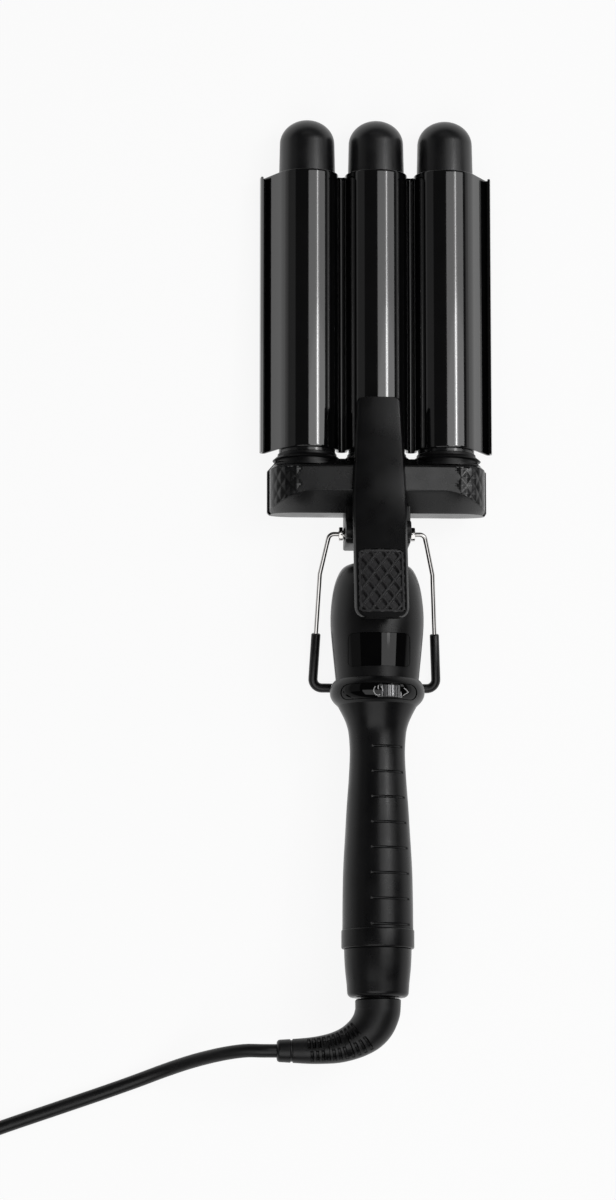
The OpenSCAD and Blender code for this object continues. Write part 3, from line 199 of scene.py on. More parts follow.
def material(name, colour, rough, metal=0.0, grain=0.4, bump=0.01, vary=0.1, patch=9.0, rough_vary=0.05,
             specular=0.5, coat=0.0, coat_rough=0.1, streak=(1, 1, 1)):
    """A finish with a fine grain in its bump, and wider patches in its colour and roughness.
    grain and patch are sizes in millimetres, and streak stretches the grain."""
    mat = bpy.data.materials.new(name)
    nodes, links = with_nodes(mat)
    shader = nodes["Principled BSDF"]
    fill(shader, {"Metallic": metal, "Specular IOR Level": specular, "Coat Weight": coat,
                  "Coat Roughness": coat_rough})
    where = nodes.new("ShaderNodeTexCoord")
    stretch = nodes.new("ShaderNodeMapping")
    fill(stretch, {"Scale": streak})
    links.new(where.outputs["Object"], stretch.inputs["Vector"])

    def noise(size, detail):
        node = nodes.new("ShaderNodeTexNoise")
        fill(node, {"Scale": 1 / (size * MM), "Detail": detail})
        links.new(stretch.outputs["Vector"], node.inputs["Vector"])
        return node.outputs["Fac"]

    fine, wide = noise(grain, 3), noise(patch, 4)
    ramp = nodes.new("ShaderNodeValToRGB")
    for end, share in ((0, 1 - vary), (1, 1 + vary)):
        ramp.color_ramp.elements[end].position = 0.3 + 0.4 * end
        ramp.color_ramp.elements[end].color = [min(c * share, 1) for c in colour] + [1]
    links.new(wide, ramp.inputs["Fac"])
    links.new(ramp.outputs["Color"], shader.inputs["Base Color"])
    span = nodes.new("ShaderNodeMapRange")
    fill(span, {"From Min": 0.3, "From Max": 0.7, "To Min": max(rough - rough_vary, 0.02),
                "To Max": rough + rough_vary})
    links.new(wide, span.inputs["Value"])
    links.new(span.outputs["Result"], shader.inputs["Roughness"])
    relief = nodes.new("ShaderNodeBump")
    fill(relief, {"Strength": 1, "Distance": bump * MM})
    links.new(fine, relief.inputs["Height"])
    links.new(relief.outputs["Normal"], shader.inputs["Normal"])
    return mat


BLACK = (0.003, 0.003, 0.0033)
GLOSS = material("gloss_plate_coat", (0.002, 0.002, 0.0022), 0.09, grain=3, bump=0.0012, vary=0.2,
                 rough_vary=0.015, specular=0.6, coat=0.2, coat_rough=0.04)
COAT = material("barrel_coat", (0.005, 0.005, 0.0055), 0.2, grain=1.2, bump=0.003, vary=0.2, rough_vary=0.03)
TIP = material("tip_plastic", (0.004, 0.004, 0.0045), 0.33, grain=0.35, bump=0.01, vary=0.15, specular=0.5)
PLASTIC = material("body_plastic", BLACK, 0.3, grain=0.3, bump=0.009, vary=0.15, specular=0.24)
BAR = material("crossbar_plastic", BLACK, 0.27, grain=0.3, bump=0.007, vary=0.15, specular=0.42)
BLOCK = material("block_plastic", BLACK, 0.4, grain=0.3, bump=0.012, vary=0.12, specular=0.25)
PAD = material("pad_rubber", (0.022, 0.0215, 0.0225), 0.45, grain=0.25, bump=0.014, vary=0.15, specular=0.35)
ALUMINIUM = material("aluminium", (0.6, 0.6, 0.62), 0.35, metal=1, grain=0.3, bump=0.01, streak=(1, 0.08, 1))
STEEL = material("steel", (0.45, 0.45, 0.47), 0.3, metal=1, grain=0.25, bump=0.006)
CHROME = material("wire_chrome", (0.46, 0.45, 0.44), 0.07, metal=1, grain=0.6, bump=0.0008, vary=0.08,
                  rough_vary=0.03)
SLEEVE = material("soft_sleeve", (0.004, 0.004, 0.0043), 0.36, grain=0.4, bump=0.01, vary=0.2, specular=0.35)
WINDOW = material("window_gloss", (0.001, 0.001, 0.0011), 0.05, grain=4, bump=0.0008, vary=0.2,
                  rough_vary=0.01, specular=0.24)
DISPLAY = material("display", (0.03, 0.05, 0.08), 0.25, grain=0.5, bump=0.004)
BOARD = material("board", (0.012, 0.07, 0.03), 0.45, grain=0.6, bump=0.01, vary=0.25, patch=3)
WHEEL = material("wheel_grey", (0.16, 0.16, 0.163), 0.28, metal=0.7, grain=0.3, bump=0.006, vary=0.12,
                 patch=3)
CORD = material("cord_rubber", BLACK, 0.38, grain=0.5, bump=0.012, vary=0.2, specular=0.3)
WIRES = material("inner_wire", (0.2, 0.02, 0.012), 0.4, grain=0.5, bump=0.01)
PRINT = material("print_white", (0.35, 0.35, 0.35), 0.5, grain=0.2, bump=0.004)


# ---- shapes: each is a pair of lists, its points and its faces ----
def joined(*shapes):
    points, faces = [], []
    for p, f in shapes:
        faces += [[i + len(points) for i in face] for face in f]
        points += p
    return points, faces


def moved(shape, by):
    return [tuple(Vector(p) + Vector(by)) for p in shape[0]], shape[1]


def grid_faces(rows, closed=True, wrap=False):
    """Faces between rows of point numbers. closed joins a row's ends, and wrap the last row to the first."""
    faces = []
    for i in range(len(rows) if wrap else len(rows) - 1):
        a, b = rows[i], rows[(i + 1) % len(rows)]
        for k in range(len(a) if closed else len(a) - 1):
            after = (k + 1) % len(a)
            face = list(dict.fromkeys((a[k], a[after], b[after], b[k])))
            if len(face) > 2:
                faces.append(face)
    return faces


def numbered(lines):
    """The points of equally long lines in one list, and each line's point numbers."""
    n = len(lines[0])
    rows = [list(range(i * n, i * n + n)) for i in range(len(lines))]
    return [tuple(p) for line in lines for p in line], rows


def loft(loops):
    """Closed loops, joined one to the next, with a flat face at each end."""
    points, rows = numbered(loops)
    return points, grid_faces(rows) + [rows[0], rows[-1][::-1]]


def lathe(profile, start=0, sweep=360, count=96, change=None):
    """Turns a closed outline of (radius, y) about the handle axis, from the front towards +X.
    change(radius, y, angle) may move the radius."""
    whole = sweep == 360
    columns = count if whole else count + 1
    points, rows = [], []
    for r, y in profile:
        if r < 1e-6:
            rows.append([len(points)] * columns)
            points.append((0, y, 0))
            continue
        rows.append([len(points) + k for k in range(columns)])
        for k in range(columns):
            a = start + sweep * k / count
            radius = change(r, y, a) if change else r
            points.append((radius * sin(a), y, radius * cos(a)))
    faces = grid_faces(rows, whole, True)
    if not whole:
        faces += [[r[0] for r in rows], [r[-1] for r in reversed(rows)]]
    return points, faces


def frames(path, side0):
    """The way, side and third direction at each point of a path, carried along it without twist."""
    path = [Vector(p) for p in path]
    out, side = [], Vector(side0)
    for i, p in enumerate(path):
        way = Vector((0, 0, 0))
        if i:
            way += (p - path[i - 1]).normalized()
        if i < len(path) - 1:
            way += (path[i + 1] - p).normalized()
        way.normalize()
        side = (side - way * side.dot(way)).normalized()
        out.append((p, way, side, way.cross(side)))
    return out


def tube(path, radius, sides=16, side0=(0, 0, 1)):
    """A swept tube. radius is a number, or a function of the point's number and the angle around."""
    get = radius if callable(radius) else lambda i, a: radius
    around = [360 * k / sides for k in range(sides)]
    return loft([[p + (u * cos(a) + v * sin(a)) * get(i, a) for a in around]
                 for i, (p, way, u, v) in enumerate(frames(path, side0))])


def prism(outline, low, high):
    """An outline in X and Y drawn out along Z."""
    points, rows = numbered([[(x, y, z) for x, y in outline] for z in (low, high)])
    return points, grid_faces(rows) + [rows[0][::-1], rows[1]]


def corner_arc(a, b, c, r, steps):
    """The arc of radius r that rounds the corner at b, between its neighbours a and c."""
    a, b, c = Vector(a[:2]), Vector(b[:2]), Vector(c[:2])
    u, v = (a - b).normalized(), (c - b).normalized()
    half = math.acos(max(-1, min(1, u.dot(v)))) / 2
    middle = b + (u + v).normalized() * r / math.sin(half)
    start = b + u * r / math.tan(half) - middle
    end = b + v * r / math.tan(half) - middle
    turn = math.copysign(math.pi - 2 * half, start.x * end.y - start.y * end.x)
    out = []
    for k in range(steps + 1):
        t = turn * k / steps
        out.append((middle.x + start.x * math.cos(t) - start.y * math.sin(t),
                    middle.y + start.x * math.sin(t) + start.y * math.cos(t)))
    return out


def rounded(points, r, steps=8):
    """A closed outline with all its corners rounded."""
    n = len(points)
    return [q for i in range(n)
            for q in corner_arc(points[i - 1], points[i], points[(i + 1) % n], r, steps)]


def bent(points, r, steps=8):
    """An open line with its inner corners bent to radius r, or to one radius for each."""
    radii = r if isinstance(r, list) else [r] * (len(points) - 2)
    middle = [q for i in range(1, len(points) - 1)
              for q in corner_arc(points[i - 1], points[i], points[i + 1], radii[i - 1], steps)]
    return [tuple(points[0])] + middle + [tuple(points[-1])]


def box_outline(w, h):
    return [(-w / 2, -h / 2), (w / 2, -h / 2), (w / 2, h / 2), (-w / 2, h / 2)]


def arc(centre, r, start, end, steps):
    return [(centre[0] + r * cos(start + (end - start) * k / steps),
             centre[1] + r * sin(start + (end - start) * k / steps)) for k in range(steps + 1)]


# ---- pieces ----
def mesh_object(name, shape, mat, spot=place, sharp=32):
    """A shape as an object. spot turns its points into the row frame, in metres."""
    mesh = bpy.data.meshes.new(name)
    mesh.from_pydata([spot(*p) for p in shape[0]], [], [tuple(f) for f in shape[1]])
    work = bmesh.new()
    work.from_mesh(mesh)
    bmesh.ops.remove_doubles(work, verts=work.verts, dist=1e-6)
    bmesh.ops.recalc_face_normals(work, faces=work.faces)
    work.to_mesh(mesh)
    work.free()
    mesh.materials.append(mat)
    obj = new_object(name, mesh)
    shade(obj, sharp)
    return obj


def shade(obj, sharp):
    mesh = obj.data
    mesh.polygons.foreach_set("use_smooth", [True] * len(mesh.polygons))
    mesh.set_sharp_from_angle(angle=math.radians(sharp))


def applied(obj, sharp=32):
    """Applies an object's modifiers to its mesh."""
    shown = obj.evaluated_get(bpy.context.evaluated_depsgraph_get())
    mesh = bpy.data.meshes.new_from_object(shown)
    obj.modifiers.clear()
    obj.data = mesh
    shade(obj, sharp)
    return obj


def cut(obj, shape, sharp=32, keep=False):
    """Cuts a closed shape out of an object, or with keep, all but what lies in it."""
    tool = mesh_object("cutter", shape, obj.data.materials[0])
    step = obj.modifiers.new("cut", "BOOLEAN")
    step.operation = "INTERSECT" if keep else "DIFFERENCE"
    step.object = tool
    step.solver = "EXACT"
    bpy.context.view_layer.update()
    applied(obj, sharp)
    bpy.data.objects.remove(tool)


def bevelled(obj, width, segments=2, angle=32, sharp=50):
    step = obj.modifiers.new("bevel", "BEVEL")
    step.width = width * MM
    step.segments = segments
    step.limit_method = "ANGLE"
    step.angle_limit = math.radians(angle)
    bpy.context.view_layer.update()
    return applied(obj, sharp)


def ride(obj, body, slot, *nodes):
    """Puts an object on a body, and hides the CAD nodes that it replaces. The slot argument, its finish, is
    not used.
    """
    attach(obj, body)
    if nodes:
        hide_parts(*nodes)
    return obj


# ---- mains lead ----
def lead_route():
    """The CAD route in row millimetres, with its way down to the table made smooth, then where it
    leaves the boot and where it enters the plug."""
    exit_at = Vector([c / MM for c in place(BOOT_LINE[-1][0], BOOT_TOP + BOOT_LINE[-1][1], 0)])
    z0 = LEAD_D / 2
    steps = [(-14, 0, 29), (-24, -1.5, 24), (-36, -4.5, 16), (-48, -8.5, 9), (-60, -13, 4.6), (-74, -18, z0),
             (-96, -25.5, z0), (-118, -33, z0), (-140, -41, z0)]
    lead = [exit_at, exit_at + Vector((-6, 0, 0))]
    lead += [Vector((exit_at.x + x, exit_at.y + y, z)) for x, y, z in steps]
    lead = smooth(lead, 4)
    cx, cy = exit_at.x - COIL_LEFT, exit_at.y - COIL_BELOW
    pitch = (COIL_R - COIL_INNER_R) * COIL_LAYERS / TURNS
    layer_turns = TURNS / COIL_LAYERS
    turn_pieces = 24

    def coil(t):
        """The coil after t turns: it winds in and out by turns, and climbs where a layer ends."""
        w = t % (2 * layer_turns)
        k = round(t / layer_turns)
        u = max(-0.25, min(0.25, t - k * layer_turns)) * 4
        climbed = k - 0.5 + (3 * u - u ** 3) / 4
        if k < 1 or k > COIL_LAYERS - 1:
            climbed = 0 if k < 1 else COIL_LAYERS - 1
        a, r = COIL_ENTER - 360 * t, COIL_R - pitch * (w if w < layer_turns else 2 * layer_turns - w)
        return Vector((cx + r * cos(a), cy + r * sin(a), z0 + (LEAD_D + COIL_GAP) * climbed))

    count = math.floor(turn_pieces * TURNS)
    turns = [coil(TURNS * k / count) for k in range(count + 1)]
    way_in = Vector((sin(COIL_ENTER), -cos(COIL_ENTER), 0))
    out_a = COIL_ENTER - 360 * TURNS
    way_out = Vector((sin(out_a), -cos(out_a), 0))
    turns = [turns[0] - way_in * LEAD_D] + turns + [turns[-1] + way_out * LEAD_D]
    lead += [turns[0] - way_in * 8]
    top, x = turns[-1], cx - COIL_R
    tail = [top + Vector((0, 6, 0))] + [Vector((x, cy + y, z)) for y, z in
                                        ((26, 21), (40, 15), (54, 11), (66, 9), (78, 9), (94, 9))]
    return lead + turns + tail, exit_at, Vector((x, cy + 94, 9))


def make_lead():
    route, exit_at, plug_at = lead_route()
    length = sum((b - a).length for a, b in zip(route, route[1:]))
    shape = tube(route, LEAD_D / 2, 14)
    lead = mesh_object("lead", shape, CORD, row, 60)
    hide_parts("mains_lead", "lead_coil", "lead_tail")
    start = row(*exit_at)
    row(exit_at.x - LEAD_BEND, exit_at.y - LEAD_BEND_BELOW, exit_at.z)
    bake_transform(lead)

    def spot(x, y, z):
        return row(x + plug_at.x, y + plug_at.y, z + plug_at.z)

    body = mesh_object("plug", plug_shape(), CORD, spot, 40)
    ride(body, "tool", "cord_rubber", "plug_body")
    root, top = PLUG_LEN - 3, PLUG_LEN + PIN_LEN
    profile = [(0, root), (PIN_R, root), (PIN_R, top - 1.6), (1.6, top - 0.4), (0.8, top), (0, top)]
    pin = lathe(profile, count=20)
    pins = joined(*[moved(pin, (s * PIN_SPACING / 2, 0, 0)) for s in (-1, 1)])
    pins = mesh_object("plug_pins_look", pins, STEEL, spot)
    ride(pins, "tool", "steel", "plug_pins")
    [row(*p) for p in route]


def plug_shape():
    """A two-pin plug: a ribbed neck that swells into a rounded body. Its sections are (y, half width,
    half height, corner radius), and the neck's are round, so one number serves for all three."""
    neck = [(0, 4.2), (0.8, 5), (3, 5.2), (3.2, 4.6), (4.2, 4.6), (4.4, 5.3), (6.6, 5.4), (6.8, 4.8),
            (7.8, 4.8), (8, 5.4)]
    sections = [(y, r, r, r) for y, r in neck]
    sections += [(10, 6.5, 6, 5.8), (12, 9, 7, 6), (15, 11, 8, 6), (19, 11.8, 8.7, 5.5), (25, 12, 9, 5),
                 (34.6, 12, 9, 4.6), (35.6, 11.6, 8.6, 4.2), (PLUG_LEN, 11, 8, 3.8)]
    loops = []
    for y, w, h, r in sections:
        outline = rounded(box_outline(2 * w, 2 * h), min(r, w - 0.01, h - 0.01), 6)
        loops.append([(x, y, z) for x, z in outline])
    return loft(loops)


make_lead()


# ---- barrels, tips and collars ----
def make_barrels():
    tip_r, spigot = TIP_D / 2, BARREL_D / 2 - BARREL_WALL - 0.1
    dome = [((tip_r - 0.3) * cos(a), TIP_REST + TIP_DOME * sin(a)) for a in range(0, 91, 5)]
    dome[-1] = (0, TIP_TOP)
    spigot_low = BARREL_END - 8
    tip = [(0, spigot_low), (spigot, spigot_low), (spigot, BARREL_END + 0.05),
           (tip_r - 0.25, BARREL_END + 0.05), (tip_r, BARREL_END + 0.3), (tip_r, BARREL_END + 1.2)] + dome
    bore, collar_r = BARREL_D / 2 + 0.05, COLLAR_D / 2
    shoulder = PITCH / 2 - 0.1
    top = BAR_TOP
    collar = [(bore, top - 3.3), (shoulder, top - 3.3), (shoulder, top - 2.1), (collar_r, top - 2.1),
              (collar_r, top - 0.2), (shoulder - 0.3, top), (shoulder, top + 0.15),
              (collar_r + 0.4, top + 1.45), (collar_r, top + 1.6), (bore + 0.75, top + 1.65),
              (bore + 0.55, top + 1.8), (bore + 0.5, top + 2.9), (bore + 0.3, top + 3.1), (bore, top + 3.1)]
    for s, name in SIDES:
        shape = moved(lathe(tip), (s * PITCH, 0, 0))
        ride(mesh_object("tip_" + name, shape, TIP), "tool", "tip_plastic", "barrel_tip_" + name)
        shape = moved(lathe(collar), (s * PITCH, 0, 0))
        collar_piece = mesh_object("collar_" + name, shape, BLOCK, sharp=25)
        ride(collar_piece, "tool", "body_plastic", "barrel_collar_" + name)


make_barrels()


# ---- clamp plate ----
def make_plate():
    r = BARREL_D / 2 + PLATE_GAP + PLATE_T / 2
    out = (cos(WING_ANGLE), sin(WING_ANGLE))
    foot = (PITCH + r * out[0] + WING_LEN * out[1], r * out[1] - WING_LEN * out[0])
    lip_centre = (foot[0] + LIP_R * out[0], foot[1] + LIP_R * out[1])
    lip = arc(lip_centre, LIP_R, 180 + WING_ANGLE, 360 + LIP_LEAN, 10)
    end = lip[-1]
    half = arc((0, 0), r, 90, 0, 32)[:-1] + arc((PITCH / 2, -GROOVE_DROP), PITCH / 2 - r, 180, 360, 16)
    half += arc((PITCH, 0), r, 180, WING_ANGLE, 52) + lip
    half += [(end[0] - LIP_H * sin(LIP_LEAN), end[1] + LIP_H * cos(LIP_LEAN))]
    line = [(-x, z) for x, z in reversed(half[1:])] + half
    clean = [line[0]]
    for p in line[1:]:
        if math.dist(p, clean[-1]) > 0.02:
            clean.append(p)
    parts = frames([(x, 0, z) for x, z in clean], (0, 1, 0))
    # Across the plate's thickness and along it, with its long edges rounded over
    half_t, half_y, edge = PLATE_T / 2, (PLATE_HIGH - PLATE_LOW) / 2, 0.3
    loop = rounded(box_outline(PLATE_T, 2 * half_y), edge, 3)
    # A point a little inside each end keeps the long faces' shading straight
    inside = half_y - 1
    loop = (loop[:8] + [(half_t, -inside), (half_t, inside)]
            + loop[8:] + [(-half_t, inside), (-half_t, -inside)])
    middle = (PLATE_LOW + PLATE_HIGH) / 2
    shape = loft([[(p.x + v.x * t, middle + y, p.z + v.z * t) for t, y in loop] for p, way, u, v in parts])
    ride(mesh_object("plate", shape, GLOSS, sharp=40), "clamp", "gloss_plate", "clamp_plate")


make_plate()


# ---- crossbar ----
def stud(u, v, wide, tall, first):
    """How deep a point is on a diamond stud, from 0 in its middle to 1 at its edges. Studs whose
    middles lie before first are left out."""
    a, b = u / wide + v / tall, u / wide - v / tall
    if wide * (round(a) + round(b)) / 2 < first:
        return 0
    return 2 * max(abs(a - round(a)), abs(b - round(b)))


def lattice(u, v, pitch_u, pitch_v, width):
    """How far a point is inside the thin lines of a diamond lattice, from 0 to 1."""
    best = 0
    for s in (-1, 1):
        t = u / pitch_u + s * v / pitch_v
        off = abs(t - round(t)) / math.hypot(1 / pitch_u, 1 / pitch_v)
        best = max(best, 1 - off / width)
    return max(best, 0)


BAR_SHOULDER, BAR_FOOT_RISE, BAR_FOOT_DROP = 4.6, 8.4, 6.6
STUD_W, STUD_H, STUD_DEEP, STUDS_FROM, STUD_ALONG, STUD_Y = 5.3, 7, 0.45, 32, 36.5, 19.5
# Half the crossbar's width and depth out to where its rounded ends begin
BAR_FLAT_X, BAR_FLAT_Z = BAR_W / 2 - BAR_END_R, BAR_DEPTH / 2 - BAR_END_R


def bar_outline():
    """The crossbar seen along the tool, as points (x, z) close enough together for the studs."""
    arc_piece, flat_piece = 0.42, 0.8
    steps = round(math.radians(90) * BAR_END_R / arc_piece)
    loop = []
    for i, (sx, sz) in enumerate(((1, -1), (1, 1), (-1, 1), (-1, -1))):
        start = 90 * (i - 1)
        loop += arc((sx * BAR_FLAT_X, sz * BAR_FLAT_Z), BAR_END_R, start, start + 90, steps)
        if i in (1, 3):
            x, z, count = sx * BAR_FLAT_X, sz * BAR_DEPTH / 2, round(2 * BAR_FLAT_X / flat_piece)
            loop += [(x - 2 * x * k / count, z) for k in range(1, count)]
        else:
            x, z, count = sx * BAR_W / 2, sz * BAR_FLAT_Z, round(2 * BAR_FLAT_Z / flat_piece)
            loop += [(x, z * (1 - 2 * k / count)) for k in range(1, count)]
    return loop


def bar_section(rise):
    """Half the crossbar's section, as points (z, y) with rounded corners, from its foot to its top. The
    foot's slope goes up by rise. Rows lie closer on the slopes, and closest on the studs' face."""
    half = BAR_DEPTH / 2
    corners = [(half * share, y) for share, y in (
        (0, BAR_BASE), (0.36, BAR_BASE), (1, BAR_BASE + rise), (1, BAR_TOP - BAR_SHOULDER), (0.47, BAR_TOP),
        (0, BAR_TOP))]
    arc_steps, face, slopes = 5, 12, (6, 18)
    line = [corners[0]]
    for k in range(1, 5):
        line += corner_arc(corners[k - 1], corners[k], corners[k + 1], 0.9 if k in (2, 3) else 0.6, arc_steps)
    line.append(corners[-1])
    dense = []
    for k, (a, b) in enumerate(zip(line, line[1:])):
        count = 44 if k == face else 8 if k in slopes else 1
        dense += [(a[0] + (b[0] - a[0]) * t / count, a[1] + (b[1] - a[1]) * t / count) for t in range(count)]
    return dense + [line[-1]]


def bar_column(x, z, front):
    """The crossbar's points over one point of its outline, with its studs, and drawn in at both ends."""
    half_w, half_d = BAR_W / 2, BAR_DEPTH / 2
    rise = BAR_FOOT_RISE - BAR_FOOT_DROP * unit((abs(x) - 28) / 19) ** 1.7
    normal, along = (0, 1), abs(x)
    if abs(x) > BAR_FLAT_X:
        past_x, past_z = abs(x) - BAR_FLAT_X, max(abs(z) - BAR_FLAT_Z, 0)
        normal = Vector((math.copysign(past_x, x), math.copysign(past_z, z))).normalized()
        along = BAR_FLAT_X + BAR_END_R * abs(math.atan2(past_x, past_z))
    column = []
    for reach, y in bar_section(rise):
        share = reach / half_d
        deep = 0
        if along > STUDS_FROM:
            fade = unit((y - BAR_BASE - rise) / 0.5) * unit((BAR_TOP - BAR_SHOULDER - y) / 0.5)
            flank = unit((0.97 - abs(normal[0])) / 0.2)
            deep = STUD_DEEP * fade * flank * stud(along - STUD_ALONG, y - STUD_Y, STUD_W, STUD_H, -1)
        if front and share > 0:
            # The front falls away a little to both sides
            deep += 0.024 * min(abs(x), half_w - 8)
        shoulder, foot = (y - (BAR_TOP - BAR_SHOULDER)) / BAR_SHOULDER, 1 - (y - BAR_BASE) / 1.2
        squeeze = 1 - 4 / half_w * max(0, shoulder) - 0.8 / half_w * max(0, foot)
        column.append(((x - normal[0] * deep) * squeeze, y,
                       z * share - (normal[1] * deep if share > 0.99 else 0)))
    return column


def make_crossbar():
    for front, name in ((True, "crossbar_front"), (False, "crossbar_back")):
        outline = [p for p in bar_outline() if (p[1] > 0) == front]
        outline.sort(key=lambda p: math.atan2(p[1] if front else -p[1], p[0]))
        end_x = max(p[0] for p in outline)
        places = [(end_x, 0)] + outline + [(-end_x, 0)]
        points, rows = numbered([bar_column(x, z, front) for x, z in places])
        faces = grid_faces(rows, closed=False)
        faces += [[r[0] for r in rows][::-1], [r[-1] for r in rows]]
        faces += [rows[0], rows[-1][::-1]]
        obj = mesh_object(name, (points, faces), BAR, sharp=20)
        ride(obj, "tool", "body_plastic", name + "_shell")


make_crossbar()


# ---- hinge block and neck ----
def make_block():
    side, top = BLOCK_W / 2, BAR_BASE + 6.6
    outline = rounded([(-side, -BLOCK_BELOW), (side, -BLOCK_BELOW), (side, top), (-side, top)], 0.8, 3)
    block = mesh_object("hinge_block_look", prism(outline, -BLOCK_BACK, HINGE_Z - 2.6), BLOCK)
    # A round cheek on each side, 4 mm thick and 8 mm across, carries the hinge pin
    ring = arc((0, HINGE_Z), 4, 0, 352.5, 47)
    inner, outer = list(range(48)), list(range(48, 96))
    cheek_faces = grid_faces([inner, outer]) + [inner, outer[::-1]]
    cheeks = joined(*[([(s * (side - 4 * e), y, z) for e in (0, 1) for y, z in ring], cheek_faces)
                      for s in (-1, 1)])
    block = bevelled(block, 0.5, 2)
    cut(block, prism([(-10.3, -9), (10.3, -9), (10.3, 30), (-10.3, 30)], HINGE_Z - 5.6, 30))
    cheeks = bevelled(mesh_object("hinge_cheeks", cheeks, BLOCK), 0.35, 2)
    ride(block, "tool", "body_plastic", "hinge_block")
    ride(cheeks, "tool", "body_plastic")


make_block()


# ---- lever ----
PLATE_R = BARREL_D / 2 + PLATE_GAP + PLATE_T
CREST = PLATE_R + 5.8
LEVER_POINTS = [(LEVER_UP, CREST), (LEVER_UP - 16, CREST + 1), (BAR_TOP - 8.4, CREST + 3.4),
                (BAR_BASE, CREST + 5.3), (-8, CREST + 9.2), (-LEVER_DOWN + 19, 33.7), (-LEVER_DOWN, 40)]
LEVER_LINE = smooth(LEVER_POINTS, 10)
LEVER_T, LEVER_EDGE, CROWN, CROWN_POWER = 4.6, 1.2, 1.3, 2.2


def lookup(y, table):
    """The second value at y in a table of (y, value), from its highest y down."""
    for (y1, z1), (y0, z0) in zip(table, table[1:]):
        if y0 <= y <= y1:
            return z0 + (z1 - z0) * (y - y0) / (y1 - y0)
    return table[0][1] if y > table[0][0] else table[-1][1]


def lever_z(y):
    return lookup(y, LEVER_LINE)


def lever_half(y):
    """Half the lever's width at y, with its corners rounded in plan."""
    widens = BAR_BASE + 6
    w = LEVER_W / 2 + min((LEVER_TIP_W - LEVER_W) / 2 * (y - widens) / (LEVER_UP - widens), 0)
    for end, r in ((LEVER_UP, LEVER_UP_R), (-LEVER_DOWN, LEVER_LOW_R)):
        gap = abs(end - y)
        if gap < r:
            w -= r - math.sqrt(max(r * r - (r - gap) ** 2, 0))
    return w


PAD_TOP = -LEVER_DOWN + PAD_MARGIN
PAD_MID = PAD_TOP + PAD_LEN / 2
PAD_SLOPE = math.degrees(math.atan((lever_z(PAD_TOP) - lever_z(PAD_TOP + PAD_LEN)) / PAD_LEN))
PAD_MID_Z = (lever_z(PAD_TOP) + lever_z(PAD_TOP + PAD_LEN)) / 2
LATTICE_W, LATTICE_H, LATTICE_LINE, LATTICE_SHIFT = 5.6, 7.9, 0.62, 0.4


def crown(x):
    """How far the lever's rounded back has dropped at x."""
    return CROWN * (abs(x) / (LEVER_W / 2)) ** CROWN_POWER


def on_pad(x, y, z):
    """A point over the thumb pad's own plane, as a point of the tool's frame."""
    return (x, PAD_MID + y * cos(PAD_SLOPE) + z * sin(PAD_SLOPE),
            PAD_MID_Z + z * cos(PAD_SLOPE) - y * sin(PAD_SLOPE))


def make_lever():
    ends, pieces, across = [0, 0.15, 0.5, 1, 1.7, 2.6, 3.7, 5], 60, 24
    straight = LEVER_UP + LEVER_DOWN - 2 * ends[-1]
    stations = [LEVER_UP - e for e in ends]
    stations += [LEVER_UP - ends[-1] - k * straight / pieces for k in range(1, pieces)]
    stations += [-LEVER_DOWN + e for e in reversed(ends)]
    loops = []
    for y in stations:
        w, top = max(lever_half(y), 0.4), lever_z(y)
        # The cover lies on the plate, then passes over the crossbar, and is free below it
        under = PLATE_R if y > PLATE_LOW else BAR_DEPTH / 2 + 0.4 if y > -2 else 0
        low = max(top - LEVER_T, under)
        loop = []
        for k in range(across + 1):
            x = -w + 2 * w * k / across
            drop = crown(x)
            near = w - abs(x)
            if near < LEVER_EDGE:
                drop += LEVER_EDGE - math.sqrt(max(LEVER_EDGE ** 2 - (LEVER_EDGE - near) ** 2, 0))
            loop.append((x, top - drop))
        flank = (top - CROWN - LEVER_EDGE + low) / 2
        loop += [(w, flank), (w - 0.4, low), (0, low), (-w + 0.4, low), (-w, flank)]
        loops.append([(x, y, max(z, low)) for x, z in loop])
    cover = mesh_object("lever", loft(loops), PLASTIC, sharp=40)
    recess, recess_faces = prism(rounded(box_outline(PAD_W + 0.3, PAD_LEN + 0.3), 2.6), -2.3, 6)
    cut(cover, ([on_pad(*p) for p in recess], recess_faces), sharp=40)
    ride(cover, "clamp", "body_plastic", "lever_cover")


def pad_height(u, v, edge):
    """How high the pad's top is over its own plane, edge away from its rim: a diamond lattice, with a
    deeper trough along the lower left of each ridge that falls to the right, inside a raised rim."""
    floor, rim, line_gap = -0.95, 1.4, 4.57
    v -= LATTICE_SHIFT
    ridge = lattice(u, v, LATTICE_W, LATTICE_H, LATTICE_LINE)
    height = floor + 0.85 * min(ridge * 2.6, 1)
    falls, climbs = (u / LATTICE_W + s * v / LATTICE_H for s in (1, -1))
    past, near = ((t - round(t)) * line_gap for t in (falls, climbs))
    if -1.25 < past < -0.3 and abs(near) > 0.75:
        height -= 0.75 * min((past + 1.25) / 0.2, (-0.3 - past) / 0.1, (abs(near) - 0.75) / 0.3, 1)
    if edge < rim:
        height = max(height, floor + min(edge / 0.3, 1, (rim - edge) / 0.3))
    return height


